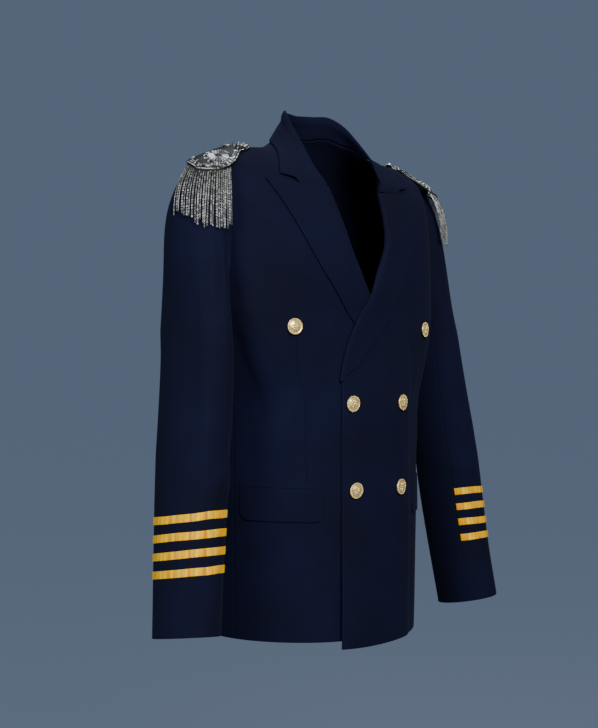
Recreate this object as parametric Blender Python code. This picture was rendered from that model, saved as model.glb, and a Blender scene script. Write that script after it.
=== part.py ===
"""Double-breasted suit jacket, worn shape, standing open and empty.

Blender 4.5, metres, +Z up. The jacket faces -Y and +X is the wearer's left. The origin is the middle
of the neck opening, level with the shoulders beside the collar. Every panel is cut from two shared
surfaces: body() for the fronts, sides and backs, and sleeve() for the sleeves.
"""

import math

import bpy
import numpy as np
from mathutils import Vector
from mathutils.bvhtree import BVHTree

for old in list(bpy.data.objects):
    bpy.data.objects.remove(old, do_unlink=True)

# Cloth and seams
CLOTH = 0.0020  # wall of every cut panel
TRIM = 0.0012  # wall of flaps' welts and ribbons
SEAM = 0.0002  # each panel's edge stands back this much from the seam
REST = 0.0004  # gap under a piece that lies on another

# Body
CHEST_Z = -0.235  # the armpit's height
SHOULDER_HALF = 0.216
RIDGE_Y = 0.0
BACK_SQUARE = 2.15
HEM_FRONT_Z = -0.6865
HEM_SIDE_Z = -0.6810
LEFT_DROP = 0.010  # the left front hangs this much lower than the right
OVERLAP_X = 0.0655  # the front edges stand this far past the middle

# height, half width, depth in front, squareness in front, depth behind
BODY = (
    (-0.720, 0.168, 0.1215, 2.0, 0.121),
    (-0.690, 0.169, 0.1225, 2.0, 0.121),
    (-0.600, 0.171, 0.1240, 2.0, 0.121),
    (-0.500, 0.173, 0.1250, 2.0, 0.112),
    (-0.420, 0.173, 0.1245, 2.0, 0.100),
    (-0.350, 0.176, 0.1235, 2.1, 0.102),
    (-0.290, 0.191, 0.1130, 2.6, 0.112),
    (-0.235, 0.202, 0.1055, 2.9, 0.120),
    (-0.180, 0.205, 0.1040, 3.0, 0.122),
)
# distance from the middle, height of the shoulder's top, squareness of the shoulder from front to back
SHOULDER = (
    (0.000, 0.046, 1.85),
    (0.045, 0.030, 1.85),
    (0.066, 0.012, 1.9),
    (0.084, 0.000, 2.0),
    (0.144, -0.013, 2.4),
    (0.190, -0.028, 2.9),
    (0.216, -0.038, 3.2),
    (0.240, -0.048, 3.4),
)
# degrees round the armhole from its top, to the front first, degrees round the body, level
ARMHOLE = (
    (-30, 106.0, 1.86),
    (0, 90.0, 2.00),
    (30, 75.0, 1.84),
    (60, 69.0, 1.60),
    (90, 67.5, 1.37),
    (120, 70.0, 1.16),
    (150, 79.0, 1.03),
    (180, 90.0, 0.985),
    (210, 103.0, 1.03),
    (240, 111.0, 1.17),
    (270, 115.0, 1.42),
    (300, 113.0, 1.66),
    (330, 106.0, 1.86),
    (360, 90.0, 2.00),
    (390, 75.0, 1.84),
)
# Soft folds of the body: degrees round it, level, size round it, size up it, height
BODY_FOLDS = (
    (71, 0.88, 8.0, 0.300, -0.0035),
    (55, 0.80, 8.0, 0.250, 0.0018),
    (62, 0.60, 14.0, 0.060, 0.0016),
    (92, 0.63, 18.0, 0.055, -0.0020),
    (134, 1.05, 7.0, 0.280, -0.0035),
    (152, 1.20, 12.0, 0.220, 0.0022),
    (165, 0.55, 16.0, 0.070, -0.0022),
)
SIDE_SEAM_AT = 161  # degrees round the armhole
BACK_SEAM_AT = 240

# Sleeve below the armpit: height, distance from the middle, how far forward, half its size from front
# to back, half its size sideways, rise of its plane outward, rise of its plane forward
SLEEVE = (
    (-0.235, 0.2345, 0.012, 0.0585, 0.0340, 0.00, 0.00),
    (-0.260, 0.2365, 0.014, 0.0590, 0.0358, 0.00, 0.01),
    (-0.300, 0.2390, 0.019, 0.0575, 0.0385, 0.00, 0.03),
    (-0.370, 0.2470, 0.026, 0.0555, 0.0410, 0.00, 0.08),
    (-0.430, 0.2560, 0.032, 0.0535, 0.0430, 0.00, 0.12),
    (-0.550, 0.2715, 0.041, 0.0500, 0.0425, 0.00, 0.15),
    (-0.670, 0.2870, 0.053, 0.0480, 0.0405, 0.09, 0.14),
)
HEAD_END_Z = -0.260
CUFF_Z = {"left": -0.672, "right": -0.659}
FRONT_ARM_SEAM = 142  # degrees round the sleeve from its outside, to the front first
BACK_ARM_SEAM = 235

# Soft folds of the sleeve: degrees round it, run, size round it, size along it, height
SLEEVE_FOLDS = (
    (76, 0.78, 16.0, 0.230, -0.0030),
    (60, 1.28, 13.0, 0.330, 0.0022),
    (28, 1.33, 13.0, 0.300, -0.0016),
    (100, 1.42, 30.0, 0.045, -0.0026),
    (112, 1.51, 26.0, 0.040, 0.0020),
    (95, 1.60, 30.0, 0.050, -0.0022),
    (250, 1.45, 25.0, 0.060, -0.0030),
    (275, 1.54, 22.0, 0.050, 0.0020),
    (62, 1.84, 17.0, 0.130, -0.0015),
)
# The left sleeve hangs flatter outside, and the right one's head is fuller behind; same columns
SLEEVE_SHAPE = {
    "left": ((45, 0.66, 60.0, 0.33, -0.0062), (45, 1.20, 60.0, 0.38, -0.0048)),
    "right": ((318, 0.45, 42.0, 0.21, 0.0072), (318, 1.38, 50.0, 0.30, 0.0016)),
}

# Front edge and lapel, seen from the front: distance past the middle, height
BREAK_Z = -0.337
# height, distance of the roll line past the middle, for the left front
ROLL = (
    (-0.3370, -0.0655),
    (-0.3060, -0.0570),
    (-0.2540, -0.0290),
    (-0.2146, 0.0000),
    (-0.1820, 0.0175),
    (-0.1600, 0.0280),
    (-0.1200, 0.0410),
    (-0.0790, 0.0520),
    (-0.0640, 0.0550),
)
# The left roll line lies further out than the right one, most at ROLL_OUT_Z
ROLL_OUT = 0.0105
ROLL_OUT_Z = -0.138
ROLL_OUT_SIZE = 0.055
# share of the lapel's length from its foot, distance of its outer edge past the middle, height
LAPEL_EDGE = (
    (0.00, -0.0615, -0.3330),
    (0.20, -0.0180, -0.2950),
    (0.40, 0.0300, -0.2540),
    (0.58, 0.0600, -0.2140),
    (0.73, 0.0900, -0.1735),
    (0.88, 0.1240, -0.1160),
    (1.00, 0.1560, -0.0600),
)
PEAK_X = 0.1560
PEAK_Z = -0.0600
GORGE_X = 0.0550
GORGE_Z = -0.0660
NOTCH_X = 0.1050
NOTCH_Z = -0.0635

# The left front stands out over the right one and fades back between these
LAP_END_X = (0.070, 0.091)
LAP_TOP_Z = (-0.205, -0.150)
# extra height over the right lapel's foot: height, x, z
LAP_BUMPS = (
    (0.0050, 0.002, -0.218),
    (0.0026, -0.026, -0.250),
    (0.0030, 0.045, -0.140),
    (0.0015, 0.050, -0.100),
)
LAP_BUMP_SIZE = 0.020
LAP_FLARE = 0.0045  # the left front's edge stands off near its hem
LAP_FLARE_Z = (0.500, 0.690)

# Neck seam, from the middle of the back to the gorge: share, distance from the middle, y
NECK = (
    (0.00, 0.000, 0.0440),
    (0.20, 0.030, 0.0370),
    (0.38, 0.052, 0.0180),
    (0.54, 0.0690, 0.0000),
    (0.70, 0.0765, -0.0300),
    (0.86, 0.0730, -0.0570),
    (1.00, 0.0565, -0.0740),
)
# Top of the collar's stand, where it folds over: share, x, y, z
CREST = (
    (0.00, 0.0000, 0.0340, 0.050),
    (0.20, 0.0260, 0.0280, 0.051),
    (0.38, 0.0440, 0.0110, 0.049),
    (0.54, 0.0580, -0.0115, 0.030),
    (0.70, 0.0625, -0.0440, -0.009),
    (0.86, 0.0605, -0.0640, -0.040),
    (1.00, 0.0560, -0.0815, -0.0630),
)
# Outer edge of the collar, which lies on the body: share, distance from the middle, y
FALL = (
    (0.00, 0.000, 0.0560),
    (0.20, 0.036, 0.0480),
    (0.38, 0.065, 0.0220),
    (0.54, 0.085, -0.0010),
    (0.70, 0.099, -0.0220),
    (0.86, 0.113, -0.0420),
    (1.00, 0.130, -0.0620),
)

LAPEL_REST = 0.0009
COLLAR_LEFT_OUT = (0.0045, -0.0025, 0.0)  # the crest's left front end stands out by this
COLLAR_REST = 0.0017  # gap under the collar's fall
STAND_REST = 0.0019  # height of the stand's foot over the neck seam

# Buttons, pockets and trim
BUTTON_D = 0.022
# distance from the middle, height
BUTTONS = {
    "top": (0.133, -0.259),
    "middle": (0.050, -0.363),
    "low": (0.045, -0.481),
}
FLAP_FROM = 31.5  # degrees round the body
FLAP_TO = 78.0
FLAP_FRONT_Z = -0.4775  # top of the flap at its front end
FLAP_BACK_Z = -0.4735
FLAP_DEEP = 0.045
FLAP_CORNER = 0.012
WELT_DEEP = 0.006
POCKET_REST = 0.0008
RIBBON_REST = 0.0006
STRIPE_Z = (-0.5082, -0.5312, -0.5542, -0.5772)
STRIPE_DEEP = 0.010
STRIPE_SHORT = 0.15  # its ends stand back from the seams by this share of the sleeve's last column

# Shoulder boards: share of the length, half width
BOARD = (
    (0.00, 0.0060),
    (0.05, 0.0105),
    (0.15, 0.0120),
    (0.24, 0.0135),
    (0.31, 0.0190),
    (0.42, 0.0265),
    (0.54, 0.0310),
    (0.65, 0.0325),
    (0.77, 0.0305),
    (0.88, 0.0240),
    (0.95, 0.0160),
    (1.00, 0.0080),
)
BOARD_START = (0.146, -0.014)  # x and y of its inner end
BOARD_END = (0.243, -0.014)
BOARD_THICK = 0.0030
BOARD_PAD = 0.0022  # how much thicker it is away from its rim
# distance from the middle, height of the underside's crest, how steeply its sides fall
BOARD_RISE = (
    (0.140, -0.0100, 0.40),
    (0.160, -0.0132, 0.50),
    (0.180, -0.0171, 0.67),
    (0.200, -0.0235, 0.75),
    (0.220, -0.0335, 0.75),
    (0.232, -0.0386, 0.75),
    (0.245, -0.0485, 0.75),
)
BOARD_CREST_Y = -0.002
BOARD_BEND = 0.012  # half the width over which the crest is rounded
MEDALLION = (0.2065, -0.0200)  # x and y of the round boss on each board
MEDALLION_R = 0.0200
MEDALLION_RISE = 0.0032
STRANDS = 36
STRAND_THICK = 0.0020
STRAND_END_Z = -0.130
# The fringe's arc, in degrees from straight out, to the front first, at its roots and at its feet
ROOT_FROM, ROOT_TO = 97.0, -25.0
FOOT_FROM, FOOT_TO = 93.0, 2.0

ROWS_LOW = 13
ROWS_UP = 12


def read(table, key):
    """Smooth values of a table's later columns where its first column is key."""
    rows = np.asarray(sorted(table), float)
    at, value = rows[:, 0], rows[:, 1:]
    slope = np.gradient(value, at, axis=0)
    key = np.clip(np.asarray(key, float), at[0], at[-1])
    low = np.clip(np.searchsorted(at, key, side="right") - 1, 0, len(at) - 2)
    step = (at[low + 1] - at[low])[..., None]
    f = (key - at[low])[..., None] / step
    near = value[low] * (1 + 2 * f) * (1 - f) ** 2 + slope[low] * step * f * (1 - f) ** 2
    far = value[low + 1] * f**2 * (3 - 2 * f) + slope[low + 1] * step * f**2 * (f - 1)
    return np.moveaxis(near + far, -1, 0)


def ease(value, start, end):
    """0 before start, 1 after end, and smooth between them."""
    f = np.clip((value - start) / (end - start), 0, 1)
    return f * f * (3 - 2 * f)


def unit(vector):
    return vector / np.maximum(np.linalg.norm(vector, axis=-1, keepdims=True), 1e-12)


def folds(table, round_, up):
    """Height of the soft folds at one place of the body or a sleeve."""
    height = np.zeros(np.broadcast(round_, up).shape)
    for at_round, at_up, wide, tall, rise in table:
        off = np.mod(round_ - at_round + 180, 360) - 180
        height = height + rise * np.exp(-((off / wide) ** 2) - ((up - at_up) / tall) ** 2)
    return height


# The body's surface
def hem_height(theta):
    return HEM_SIDE_Z + (HEM_FRONT_Z - HEM_SIDE_Z) * np.clip(np.cos(np.radians(theta)), 0, 1) ** 2


def body(theta, level):
    """Outer face of the jacket. theta is in degrees round the body from the front's middle to the
    wearer's left. level is 0 at the hem, 1 at the armpit and 2 on top of the shoulder."""
    theta, level = np.broadcast_arrays(np.asarray(theta, float), np.asarray(level, float))
    across, ahead = np.sin(np.radians(theta)), np.cos(np.radians(theta))
    up = np.clip(level - 1, 0, 1) * math.pi / 2
    hem = hem_height(theta)
    low_z = hem + (CHEST_Z - hem) * np.minimum(level, 1)
    half, deep, box, behind = read(BODY, low_z)
    half = half + (SHOULDER_HALF - half) * (1 - np.cos(up))
    box = np.where(ahead > 0, box, BACK_SQUARE)
    plan = (np.abs(across) ** box + np.abs(ahead) ** box) ** (1 / box)
    across, ahead = across / plan, ahead / plan
    x = half * across
    top, square = read(SHOULDER, np.abs(x))
    turn = (np.cos(up) ** square + np.sin(up) ** square) ** (1 / square)
    y = RIDGE_Y - np.where(ahead > 0, deep, behind) * ahead * np.cos(up) / turn
    z = np.where(level > 1, CHEST_Z + (top - CHEST_Z) * np.sin(up) / turn, low_z)
    fold = folds(BODY_FOLDS, np.abs(theta), level) * np.clip(1.9 - level, 0, 1)
    x = x + fold * np.sin(np.radians(theta))
    y = y - fold * np.cos(np.radians(theta))
    return np.stack([x, y, z], -1)


def body_normal(theta, level):
    """Direction out of the body, measured across a small patch of its surface."""
    side = np.minimum(np.asarray(level, float), 1.997)
    round_ = body(theta + 0.2, side) - body(theta - 0.2, side)
    up = body(theta, side + 0.002) - body(theta, side - 0.002)
    return unit(np.cross(round_, up))


def from_front(x, z):
    """theta and level of the front's point at x and z."""
    x, z = np.broadcast_arrays(np.asarray(x, float), np.asarray(z, float))
    top, square = read(SHOULDER, np.abs(x))
    rise = np.clip((z - CHEST_Z) / (top - CHEST_Z), 0, 0.9999)
    up = np.arctan2(rise, (1 - rise**square) ** (1 / square))
    half, _, box, _ = read(BODY, np.minimum(z, CHEST_Z))
    half = half + (SHOULDER_HALF - half) * (1 - np.cos(up))
    across = np.clip(np.abs(x) / half, 0, 1)
    theta = np.degrees(np.arctan2(np.sign(x) * across, (1 - across**box) ** (1 / box)))
    hem = hem_height(theta)
    low = (z - hem) / (CHEST_Z - hem)
    return np.stack([theta, np.where(z > CHEST_Z, 1 + up / (math.pi / 2), low)], -1)


def from_above(x, y):
    """theta and level of the point above x and y, on the chest, the shoulder or the upper back."""
    x, y = np.broadcast_arrays(np.asarray(x, float), np.asarray(y, float))
    chest_half, chest_deep, chest_box, chest_behind = read(BODY, CHEST_Z)
    square = read(SHOULDER, np.abs(x))[1]
    box = np.where(y < RIDGE_Y, chest_box, BACK_SQUARE)
    up = np.full(x.shape, math.pi / 4)
    for _ in range(8):
        half = chest_half + (SHOULDER_HALF - chest_half) * (1 - np.cos(up))
        across = np.clip(np.abs(x) / half, 0, 0.9999)
        ahead = (1 - across**box) ** (1 / box)
        deep = np.where(y < RIDGE_Y, chest_deep, chest_behind) * ahead
        out = np.clip(np.abs(y - RIDGE_Y) / deep, 0, 0.9999)
        up = np.arctan2((1 - out**square) ** (1 / square), out)
    theta = np.degrees(np.arctan2(np.sign(x) * across, ahead))
    theta = np.where(y > RIDGE_Y, np.sign(x + 1e-9) * 180 - theta, theta)
    return np.stack([theta, 1 + up / (math.pi / 2)], -1)


def raised(place, height):
    """Body points at place, moved out by height."""
    theta, level = place[..., 0], place[..., 1]
    return body(theta, level) + body_normal(theta, level) * np.asarray(height)[..., None]


def over(x, z):
    """How far the left front stands out, to lie over the right front and its lapel."""
    lapped = (1 - ease(x, *LAP_END_X)) * (1 - ease(z, *LAP_TOP_Z))
    height = (CLOTH + 3 * REST) * lapped
    height = height + LAP_FLARE * ease(-x, -0.030, OVERLAP_X) * ease(-z, *LAP_FLARE_Z)
    for bump, at_x, at_z in LAP_BUMPS:
        height = height + bump * np.exp(-((x - at_x) ** 2 + (z - at_z) ** 2) / (2 * LAP_BUMP_SIZE**2))
    return height


# The sleeve's surface
def armhole(psi):
    theta, level = read(ARMHOLE, np.mod(psi, 360))
    return np.stack([theta, level], -1)


def sleeve_ring(psi, height):
    """Left sleeve below the armpit. psi is in degrees from the outside, to the front first."""
    x, ahead, deep, half, out_rise, front_rise = read(SLEEVE, height)
    out = half * np.cos(np.radians(psi))
    front = deep * np.sin(np.radians(psi))
    z = height + out_rise * out + front_rise * front
    return np.stack([x + out, -ahead - front, z], -1)


def sleeve(psi, run, side):
    """Outer face of a sleeve: run is 0 at the armhole, 1 below the armpit and 2 at the cuff. The right
    one comes out on the left too, and is mirrored when its mesh is made."""
    psi, run = np.broadcast_arrays(np.asarray(psi, float), np.asarray(run, float))
    height = HEAD_END_Z + (CUFF_Z[side] - HEAD_END_Z) * np.clip(run - 1, 0, 1)
    low = sleeve_ring(psi, height)
    place = armhole(psi)
    start = body(place[..., 0], place[..., 1])
    top = 0.5 + 0.5 * np.cos(np.radians(psi))
    front = np.sin(np.radians(psi))
    start = start + np.stack([0.0006 + 0.0006 * (1 - top), 0 * top, 0 * top], -1)
    lead = unit(np.stack([0.35 + 0.65 * top, -0.42 * front, -0.75 * (1 - top) - 0.04], -1))
    lead = lead * (0.030 + 0.140 * top[..., None] ** 1.2)
    end = sleeve_ring(psi, np.full(psi.shape, HEAD_END_Z))
    down = unit(end - sleeve_ring(psi, np.full(psi.shape, HEAD_END_Z + 0.02)))
    down = down * (0.025 + 0.215 * top[..., None])
    fold = folds((*SLEEVE_FOLDS, *SLEEVE_SHAPE[side]), psi, run) * ease(run, 0, 0.2)
    fold = np.stack([fold * np.cos(np.radians(psi)), -fold * front, 0 * fold], -1)
    f = np.clip(run, 0, 1)[..., None]
    head = start * (1 + 2 * f) * (1 - f) ** 2 + lead * f * (1 - f) ** 2
    head = head + end * f**2 * (3 - 2 * f) + down * f**2 * (f - 1)
    return np.where(run[..., None] > 1, low, head) + fold


def sleeve_normal(psi, run, side):
    run = np.clip(np.asarray(run, float), 0.012, 1.995)
    round_ = sleeve(psi + 0.5, run, side) - sleeve(psi - 0.5, run, side)
    along = sleeve(psi, run + 0.01, side) - sleeve(psi, run - 0.01, side)
    return unit(np.cross(round_, along))


# Meshes
FACETS = {}  # the triangles of every finished object, for the pieces that lie on it
LOOK_FROM = 0.012
LOOK_UNDER = 0.004


def facing_out(points, faces):
    """The faces, turned over if they enclose the points inside out."""
    volume = 0.0
    for face in faces:
        corner = points[list(face)]
        for k in range(1, len(face) - 1):
            volume += np.dot(corner[0], np.cross(corner[k], corner[k + 1]))
    return faces if volume > 0 else [tuple(reversed(face)) for face in faces]


def add_mesh(name, points, faces, material, smooth=True):
    faces = facing_out(np.asarray(points, float), faces)
    mesh = bpy.data.meshes.new(name)
    mesh.from_pydata([tuple(map(float, p)) for p in points], [], faces)
    mesh.validate()
    mesh.polygons.foreach_set("use_smooth", [smooth] * len(mesh.polygons))
    mesh.materials.append(material)
    obj = bpy.data.objects.new(name, mesh)
    bpy.context.scene.collection.objects.link(obj)
    mesh.calc_loop_triangles()
    corners = [tuple(triangle.vertices) for triangle in mesh.loop_triangles]
    FACETS[name] = BVHTree.FromPolygons([vertex.co.copy() for vertex in mesh.vertices], corners)
    return obj


def lift_needed(points, directions, names, gap, right=False, least=0.0):
    """How far each point must move along its direction to stand gap over the named objects."""
    turned = (-1, 1, 1) if right else (1, 1, 1)
    lift = np.full(points.shape[:-1], least)
    for at in np.ndindex(lift.shape):
        direction = Vector(directions[at] * turned)
        start = Vector(points[at] * turned) + direction * LOOK_FROM
        for name in names:
            hit, _, _, distance = FACETS[name].ray_cast(start, -direction, LOOK_FROM + LOOK_UNDER)
            if hit is not None:
                lift[at] = max(lift[at], gap + LOOK_FROM - distance)
    return lift


def inset(grid, gap=SEAM):
    """The grid with its four edges moved in by gap."""
    grid = grid.copy()
    grid[0] += unit(grid[1] - grid[0]) * gap
    grid[-1] += unit(grid[-2] - grid[-1]) * gap
    grid[:, 0] += unit(grid[:, 1] - grid[:, 0]) * gap
    grid[:, -1] += unit(grid[:, -2] - grid[:, -1]) * gap
    return grid


def wall(outer, inner):
    """Points and faces of the closed wall between two grids. The faces point out of it."""
    rows, columns = outer.shape[:2]
    points = np.concatenate([outer.reshape(-1, 3), inner.reshape(-1, 3)])
    size = rows * columns

    def quad(a, b, c, d):
        faces.append((a, b, c, d))

    faces = []
    for r in range(rows - 1):
        for c in range(columns - 1):
            a = r * columns + c
            quad(a, a + 1, a + columns + 1, a + columns)
            quad(size + a, size + a + columns, size + a + columns + 1, size + a + 1)
    for c in range(columns - 1):
        low, high = c, (rows - 1) * columns + c
        quad(low + 1, low, size + low, size + low + 1)
        quad(high, high + 1, size + high + 1, size + high)
    for r in range(rows - 1):
        left, right = r * columns, r * columns + columns - 1
        quad(left, left + columns, size + left + columns, size + left)
        quad(right + columns, right, size + right, size + right + columns)
    return points, faces


def lay_over(outer, inner, away, names, gap, right=False):
    """Both faces of a piece, moved out where the inner one is nearer than gap to what it lies on. The
    middle of every edge is looked at too."""
    lift = np.maximum(lift_needed(inner, away, names, gap, right), 0)
    inner, outer = inner + away * lift[..., None], outer + away * lift[..., None]
    lift = np.zeros(lift.shape)
    for axis in (0, 1):
        near = np.moveaxis(inner, axis, 0)
        turned = np.moveaxis(away, axis, 0)
        middle = (near[1:] + near[:-1]) / 2
        needed = np.maximum(lift_needed(middle, unit(turned[1:] + turned[:-1]), names, gap, right), 0)
        grown = np.moveaxis(lift, axis, 0)
        grown[1:] = np.maximum(grown[1:], needed)
        grown[:-1] = np.maximum(grown[:-1], needed)
    return outer + away * lift[..., None], inner + away * lift[..., None]


def mirrored(points, faces):
    return points * (-1, 1, 1), [tuple(reversed(face)) for face in faces]


def cloth(name, outer, inner, material, right=False):
    points, faces = wall(outer, inner)
    if right:
        points, faces = mirrored(points, faces)
    return add_mesh(name, points, faces, material)


def material(name, colour, roughness, metallic=0.0):
    made = bpy.data.materials.new(name)
    made.use_nodes = True
    shader = made.node_tree.nodes["Principled BSDF"]
    shader.inputs["Base Color"].default_value = (*colour, 1.0)
    shader.inputs["Roughness"].default_value = roughness
    shader.inputs["Metallic"].default_value = metallic
    return made


NAVY = (0.0075, 0.0105, 0.043)


def navy(name):
    return material(name + "_wool", NAVY, 0.82)


# Fronts, sides and backs
def outer_line(seam_at, end):
    """A panel's outer edge: the side seam, then the armhole up to the shoulder."""
    seam_theta, seam_level = armhole(np.array(float(seam_at)))
    low = np.linspace(0, 1, ROWS_LOW)
    seam = np.stack([np.full(ROWS_LOW, seam_theta), low * seam_level], -1)
    hole = armhole(np.linspace(seam_at, end, ROWS_UP + 1)[1:])
    hole[-1] = (90, 2)
    return np.concatenate([seam, hole])


def roll_at(height, on_left):
    out = ROLL_OUT * np.exp(-(((height - ROLL_OUT_Z) / ROLL_OUT_SIZE) ** 2))
    return read(ROLL, height)[0] + (out if on_left else 0)


def front_inner_line(on_left):
    """A front's inner edge: front edge, roll line, then the neck seam up to the shoulder."""
    low_z = HEM_FRONT_Z + np.linspace(0, 1, ROWS_LOW) * (CHEST_Z - HEM_FRONT_Z)
    nearest = np.argmin(np.abs(low_z - BREAK_Z))
    low_z[nearest] = BREAK_Z
    low_x = np.where(low_z <= BREAK_Z, -OVERLAP_X, roll_at(low_z, on_left))
    low = from_front(low_x, low_z)
    low[0, 1] = 0
    roll_rows = ROWS_UP // 2
    roll_z = np.linspace(CHEST_Z, GORGE_Z, roll_rows + 1)[1:]
    roll = from_front(roll_at(roll_z, on_left), roll_z)
    share = np.linspace(1.0, 0.54, ROWS_UP - roll_rows + 1)[1:]
    neck_x, neck_y = read(NECK, share)
    neck = from_above(neck_x, np.minimum(neck_y, -1e-4))
    neck[-1, 1] = 2
    return np.concatenate([low, roll, neck])


def hang(place, drop):
    """The places of a panel whose hem is lower by drop at the front, and not at the back's middle."""
    share = drop / (CHEST_Z - HEM_SIDE_Z) * (0.5 + 0.5 * np.cos(np.radians(place[..., 0])))
    lower = place.copy()
    lower[..., 1] -= share * np.clip(1 - place[..., 1], 0, 1)
    return lower


def panel(inner, outer, columns, height=None, drop=0.0):
    """Outer and inner faces of a panel between two edges of (theta, level) rows."""
    across = np.linspace(0, 1, columns)[None, :, None]
    place = hang(inner[:, None] * (1 - across) + outer[:, None] * across, drop)
    points = body(place[..., 0], place[..., 1])
    normal = body_normal(place[..., 0], place[..., 1])
    if height is not None:
        points = points + normal * height(points[..., 0], points[..., 2])[..., None]
    points = inset(points)
    return points, points - normal * CLOTH


def make_fronts():
    outer = outer_line(SIDE_SEAM_AT, 0)
    left, left_in = panel(front_inner_line(True), outer, 13, over, LEFT_DROP)
    right, right_in = panel(front_inner_line(False), outer, 12)
    cloth("front_left", left, left_in, navy("front_left"))
    cloth("front_right", right, right_in, navy("front_right"), right=True)


def make_sides():
    top = armhole(np.linspace(SIDE_SEAM_AT, BACK_SEAM_AT, 6))
    low = np.linspace(0, 1, ROWS_LOW)
    straight = np.stack([np.broadcast_to(top[:, 0], (ROWS_LOW, 6)), low[:, None] * top[:, 1]], -1)
    for side, drop in (("left", LEFT_DROP), ("right", 0.0)):
        place = hang(straight, drop)
        points = inset(body(place[..., 0], place[..., 1]))
        inner = points - body_normal(place[..., 0], place[..., 1]) * CLOTH
        cloth("side_" + side, points, inner, navy("side_" + side), right=side == "right")


def make_backs():
    outer = outer_line(BACK_SEAM_AT, 360)
    neck_x, neck_y = read(NECK, np.linspace(0, 0.54, 7))
    neck = from_above(np.maximum(neck_x, 1e-4), np.maximum(neck_y, 1e-4))
    neck[-1, 1] = 2
    middle = np.linspace(outer[ROWS_LOW - 1, 1], neck[0, 1], ROWS_UP - 6 + 1)[1:]
    low = np.linspace(0, 1, ROWS_LOW) * outer[ROWS_LOW - 1, 1]
    levels = np.concatenate([low, middle])
    inner = np.concatenate([np.stack([np.full(len(levels), 180.0), levels], -1), neck[1:]])
    for side, drop in (("left", LEFT_DROP), ("right", 0.0)):
        points, back = panel(outer, inner, 8, drop=drop)
        cloth("back_" + side, points, back, navy("back_" + side), right=side == "right")


# Sleeves
TOP_COLUMNS = np.linspace(BACK_ARM_SEAM - 360, FRONT_ARM_SEAM, 20)
UNDER_COLUMNS = np.linspace(FRONT_ARM_SEAM, BACK_ARM_SEAM, 8)
SLEEVE_RUNS = np.concatenate([np.linspace(0, 1, 9), 1 + np.linspace(0, 1, 8)[1:]])


def make_sleeves():
    for side in ("left", "right"):
        for name, columns in (("sleeve_top_", TOP_COLUMNS), ("sleeve_under_", UNDER_COLUMNS)):
            psi, run = np.meshgrid(columns, SLEEVE_RUNS)
            points = inset(sleeve(psi, run, side))
            inner = points - sleeve_normal(psi, run, side) * CLOTH
            cloth(name + side, points, inner, navy(name + side), right=side == "right")


def run_at(height, side):
    return 1 + (height - HEAD_END_Z) / (CUFF_Z[side] - HEAD_END_Z)


def make_stripes():
    """The ribbons run from one sleeve seam to the other, with a column on each of the sleeve's own."""
    for side in ("left", "right"):
        for number, height in enumerate(STRIPE_Z, 1):
            gold = material(f"stripe_{side}_{number}_ribbon", (0.80, 0.40, 0.012), 0.35)
            edges = run_at(height + STRIPE_DEEP / 2, side), run_at(height - STRIPE_DEEP / 2, side)
            psi, run = np.meshgrid(TOP_COLUMNS, edges)
            normal = sleeve_normal(psi, run, side)
            base = sleeve(psi, run, side)
            for end, near in ((0, 1), (-1, -2)):
                base[:, end] += (base[:, near] - base[:, end]) * STRIPE_SHORT
                normal[:, end] += (normal[:, near] - normal[:, end]) * STRIPE_SHORT
            outer, inner = base + normal * (REST + TRIM), base + normal * REST
            under, right = ["sleeve_top_" + side], side == "right"
            outer, inner = lay_over(outer, inner, normal, under, RIBBON_REST, right)
            cloth(f"stripe_{side}_{number}", outer, inner, gold, right)


# Lapels and collar
def lapel_place(share, across, on_left):
    """x and z of the lapel's point: share along the roll line, across to the outer edge."""
    roll_z = BREAK_Z + 0.004 + (GORGE_Z - BREAK_Z - 0.004) * share
    roll_x = roll_at(roll_z, on_left)
    edge_x, edge_z = read(LAPEL_EDGE, share)
    flat_x = roll_x + (edge_x - roll_x) * across
    flat_z = roll_z + (edge_z - roll_z) * across
    bend = (NOTCH_X - GORGE_X) / (PEAK_X - GORGE_X)
    notch = NOTCH_Z - (GORGE_Z + (PEAK_Z - GORGE_Z) * bend)
    lift = np.where(across < bend, across / bend, (1 - across) / (1 - bend)) * notch
    return flat_x, flat_z + lift * share**4


# share across the lapel, distance past the roll line, height of its middle over the front
LAPEL_SECTION = (
    (0.00, -0.0020, -0.0016),
    (0.00, -0.0036, 0.0002),
    (0.00, -0.0034, 0.0030),
    (0.00, -0.0008, 0.0048),
    (0.07, 0.0000, 0.0052),
    (0.22, 0.0000, 0.0044),
    (0.45, 0.0000, 0.0032),
    (0.72, 0.0000, 0.0024),
    (1.00, 0.0000, 0.0020),
)


def lapel_grid(shares, on_left):
    rows = []
    for across, shift, height in LAPEL_SECTION:
        x, z = lapel_place(shares, across, on_left)
        crest = 0.0018 + (height - 0.0018) * (0.35 + 0.65 * ease(shares, 0.42, 0.66))
        height_here = np.where(height > 0.0018, crest, height)
        points = raised(from_front(x + shift, z), height_here + (over(x, z) if on_left else 0 * x))
        rows.append(points)
    return np.stack(rows, 1)


def grid_normal(grid):
    down = np.gradient(grid, axis=0)
    along = np.gradient(grid, axis=1)
    return unit(np.cross(along, down))


def make_lapels():
    for side, shares in (("left", np.linspace(0.03, 1, 15)), ("right", np.linspace(0.385, 1, 11))):
        grid = lapel_grid(shares, side == "left")
        normal = grid_normal(grid)
        outer, inner = grid + normal * CLOTH / 2, grid - normal * CLOTH / 2
        under, right = ["front_" + side], side == "right"
        outer[:, 4:], inner[:, 4:] = lay_over(
            outer[:, 4:], inner[:, 4:], normal[:, 4:], under, LAPEL_REST, right
        )
        name = "lapel_" + side
        cloth(name, outer, inner, navy(name), right=side == "right")


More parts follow.
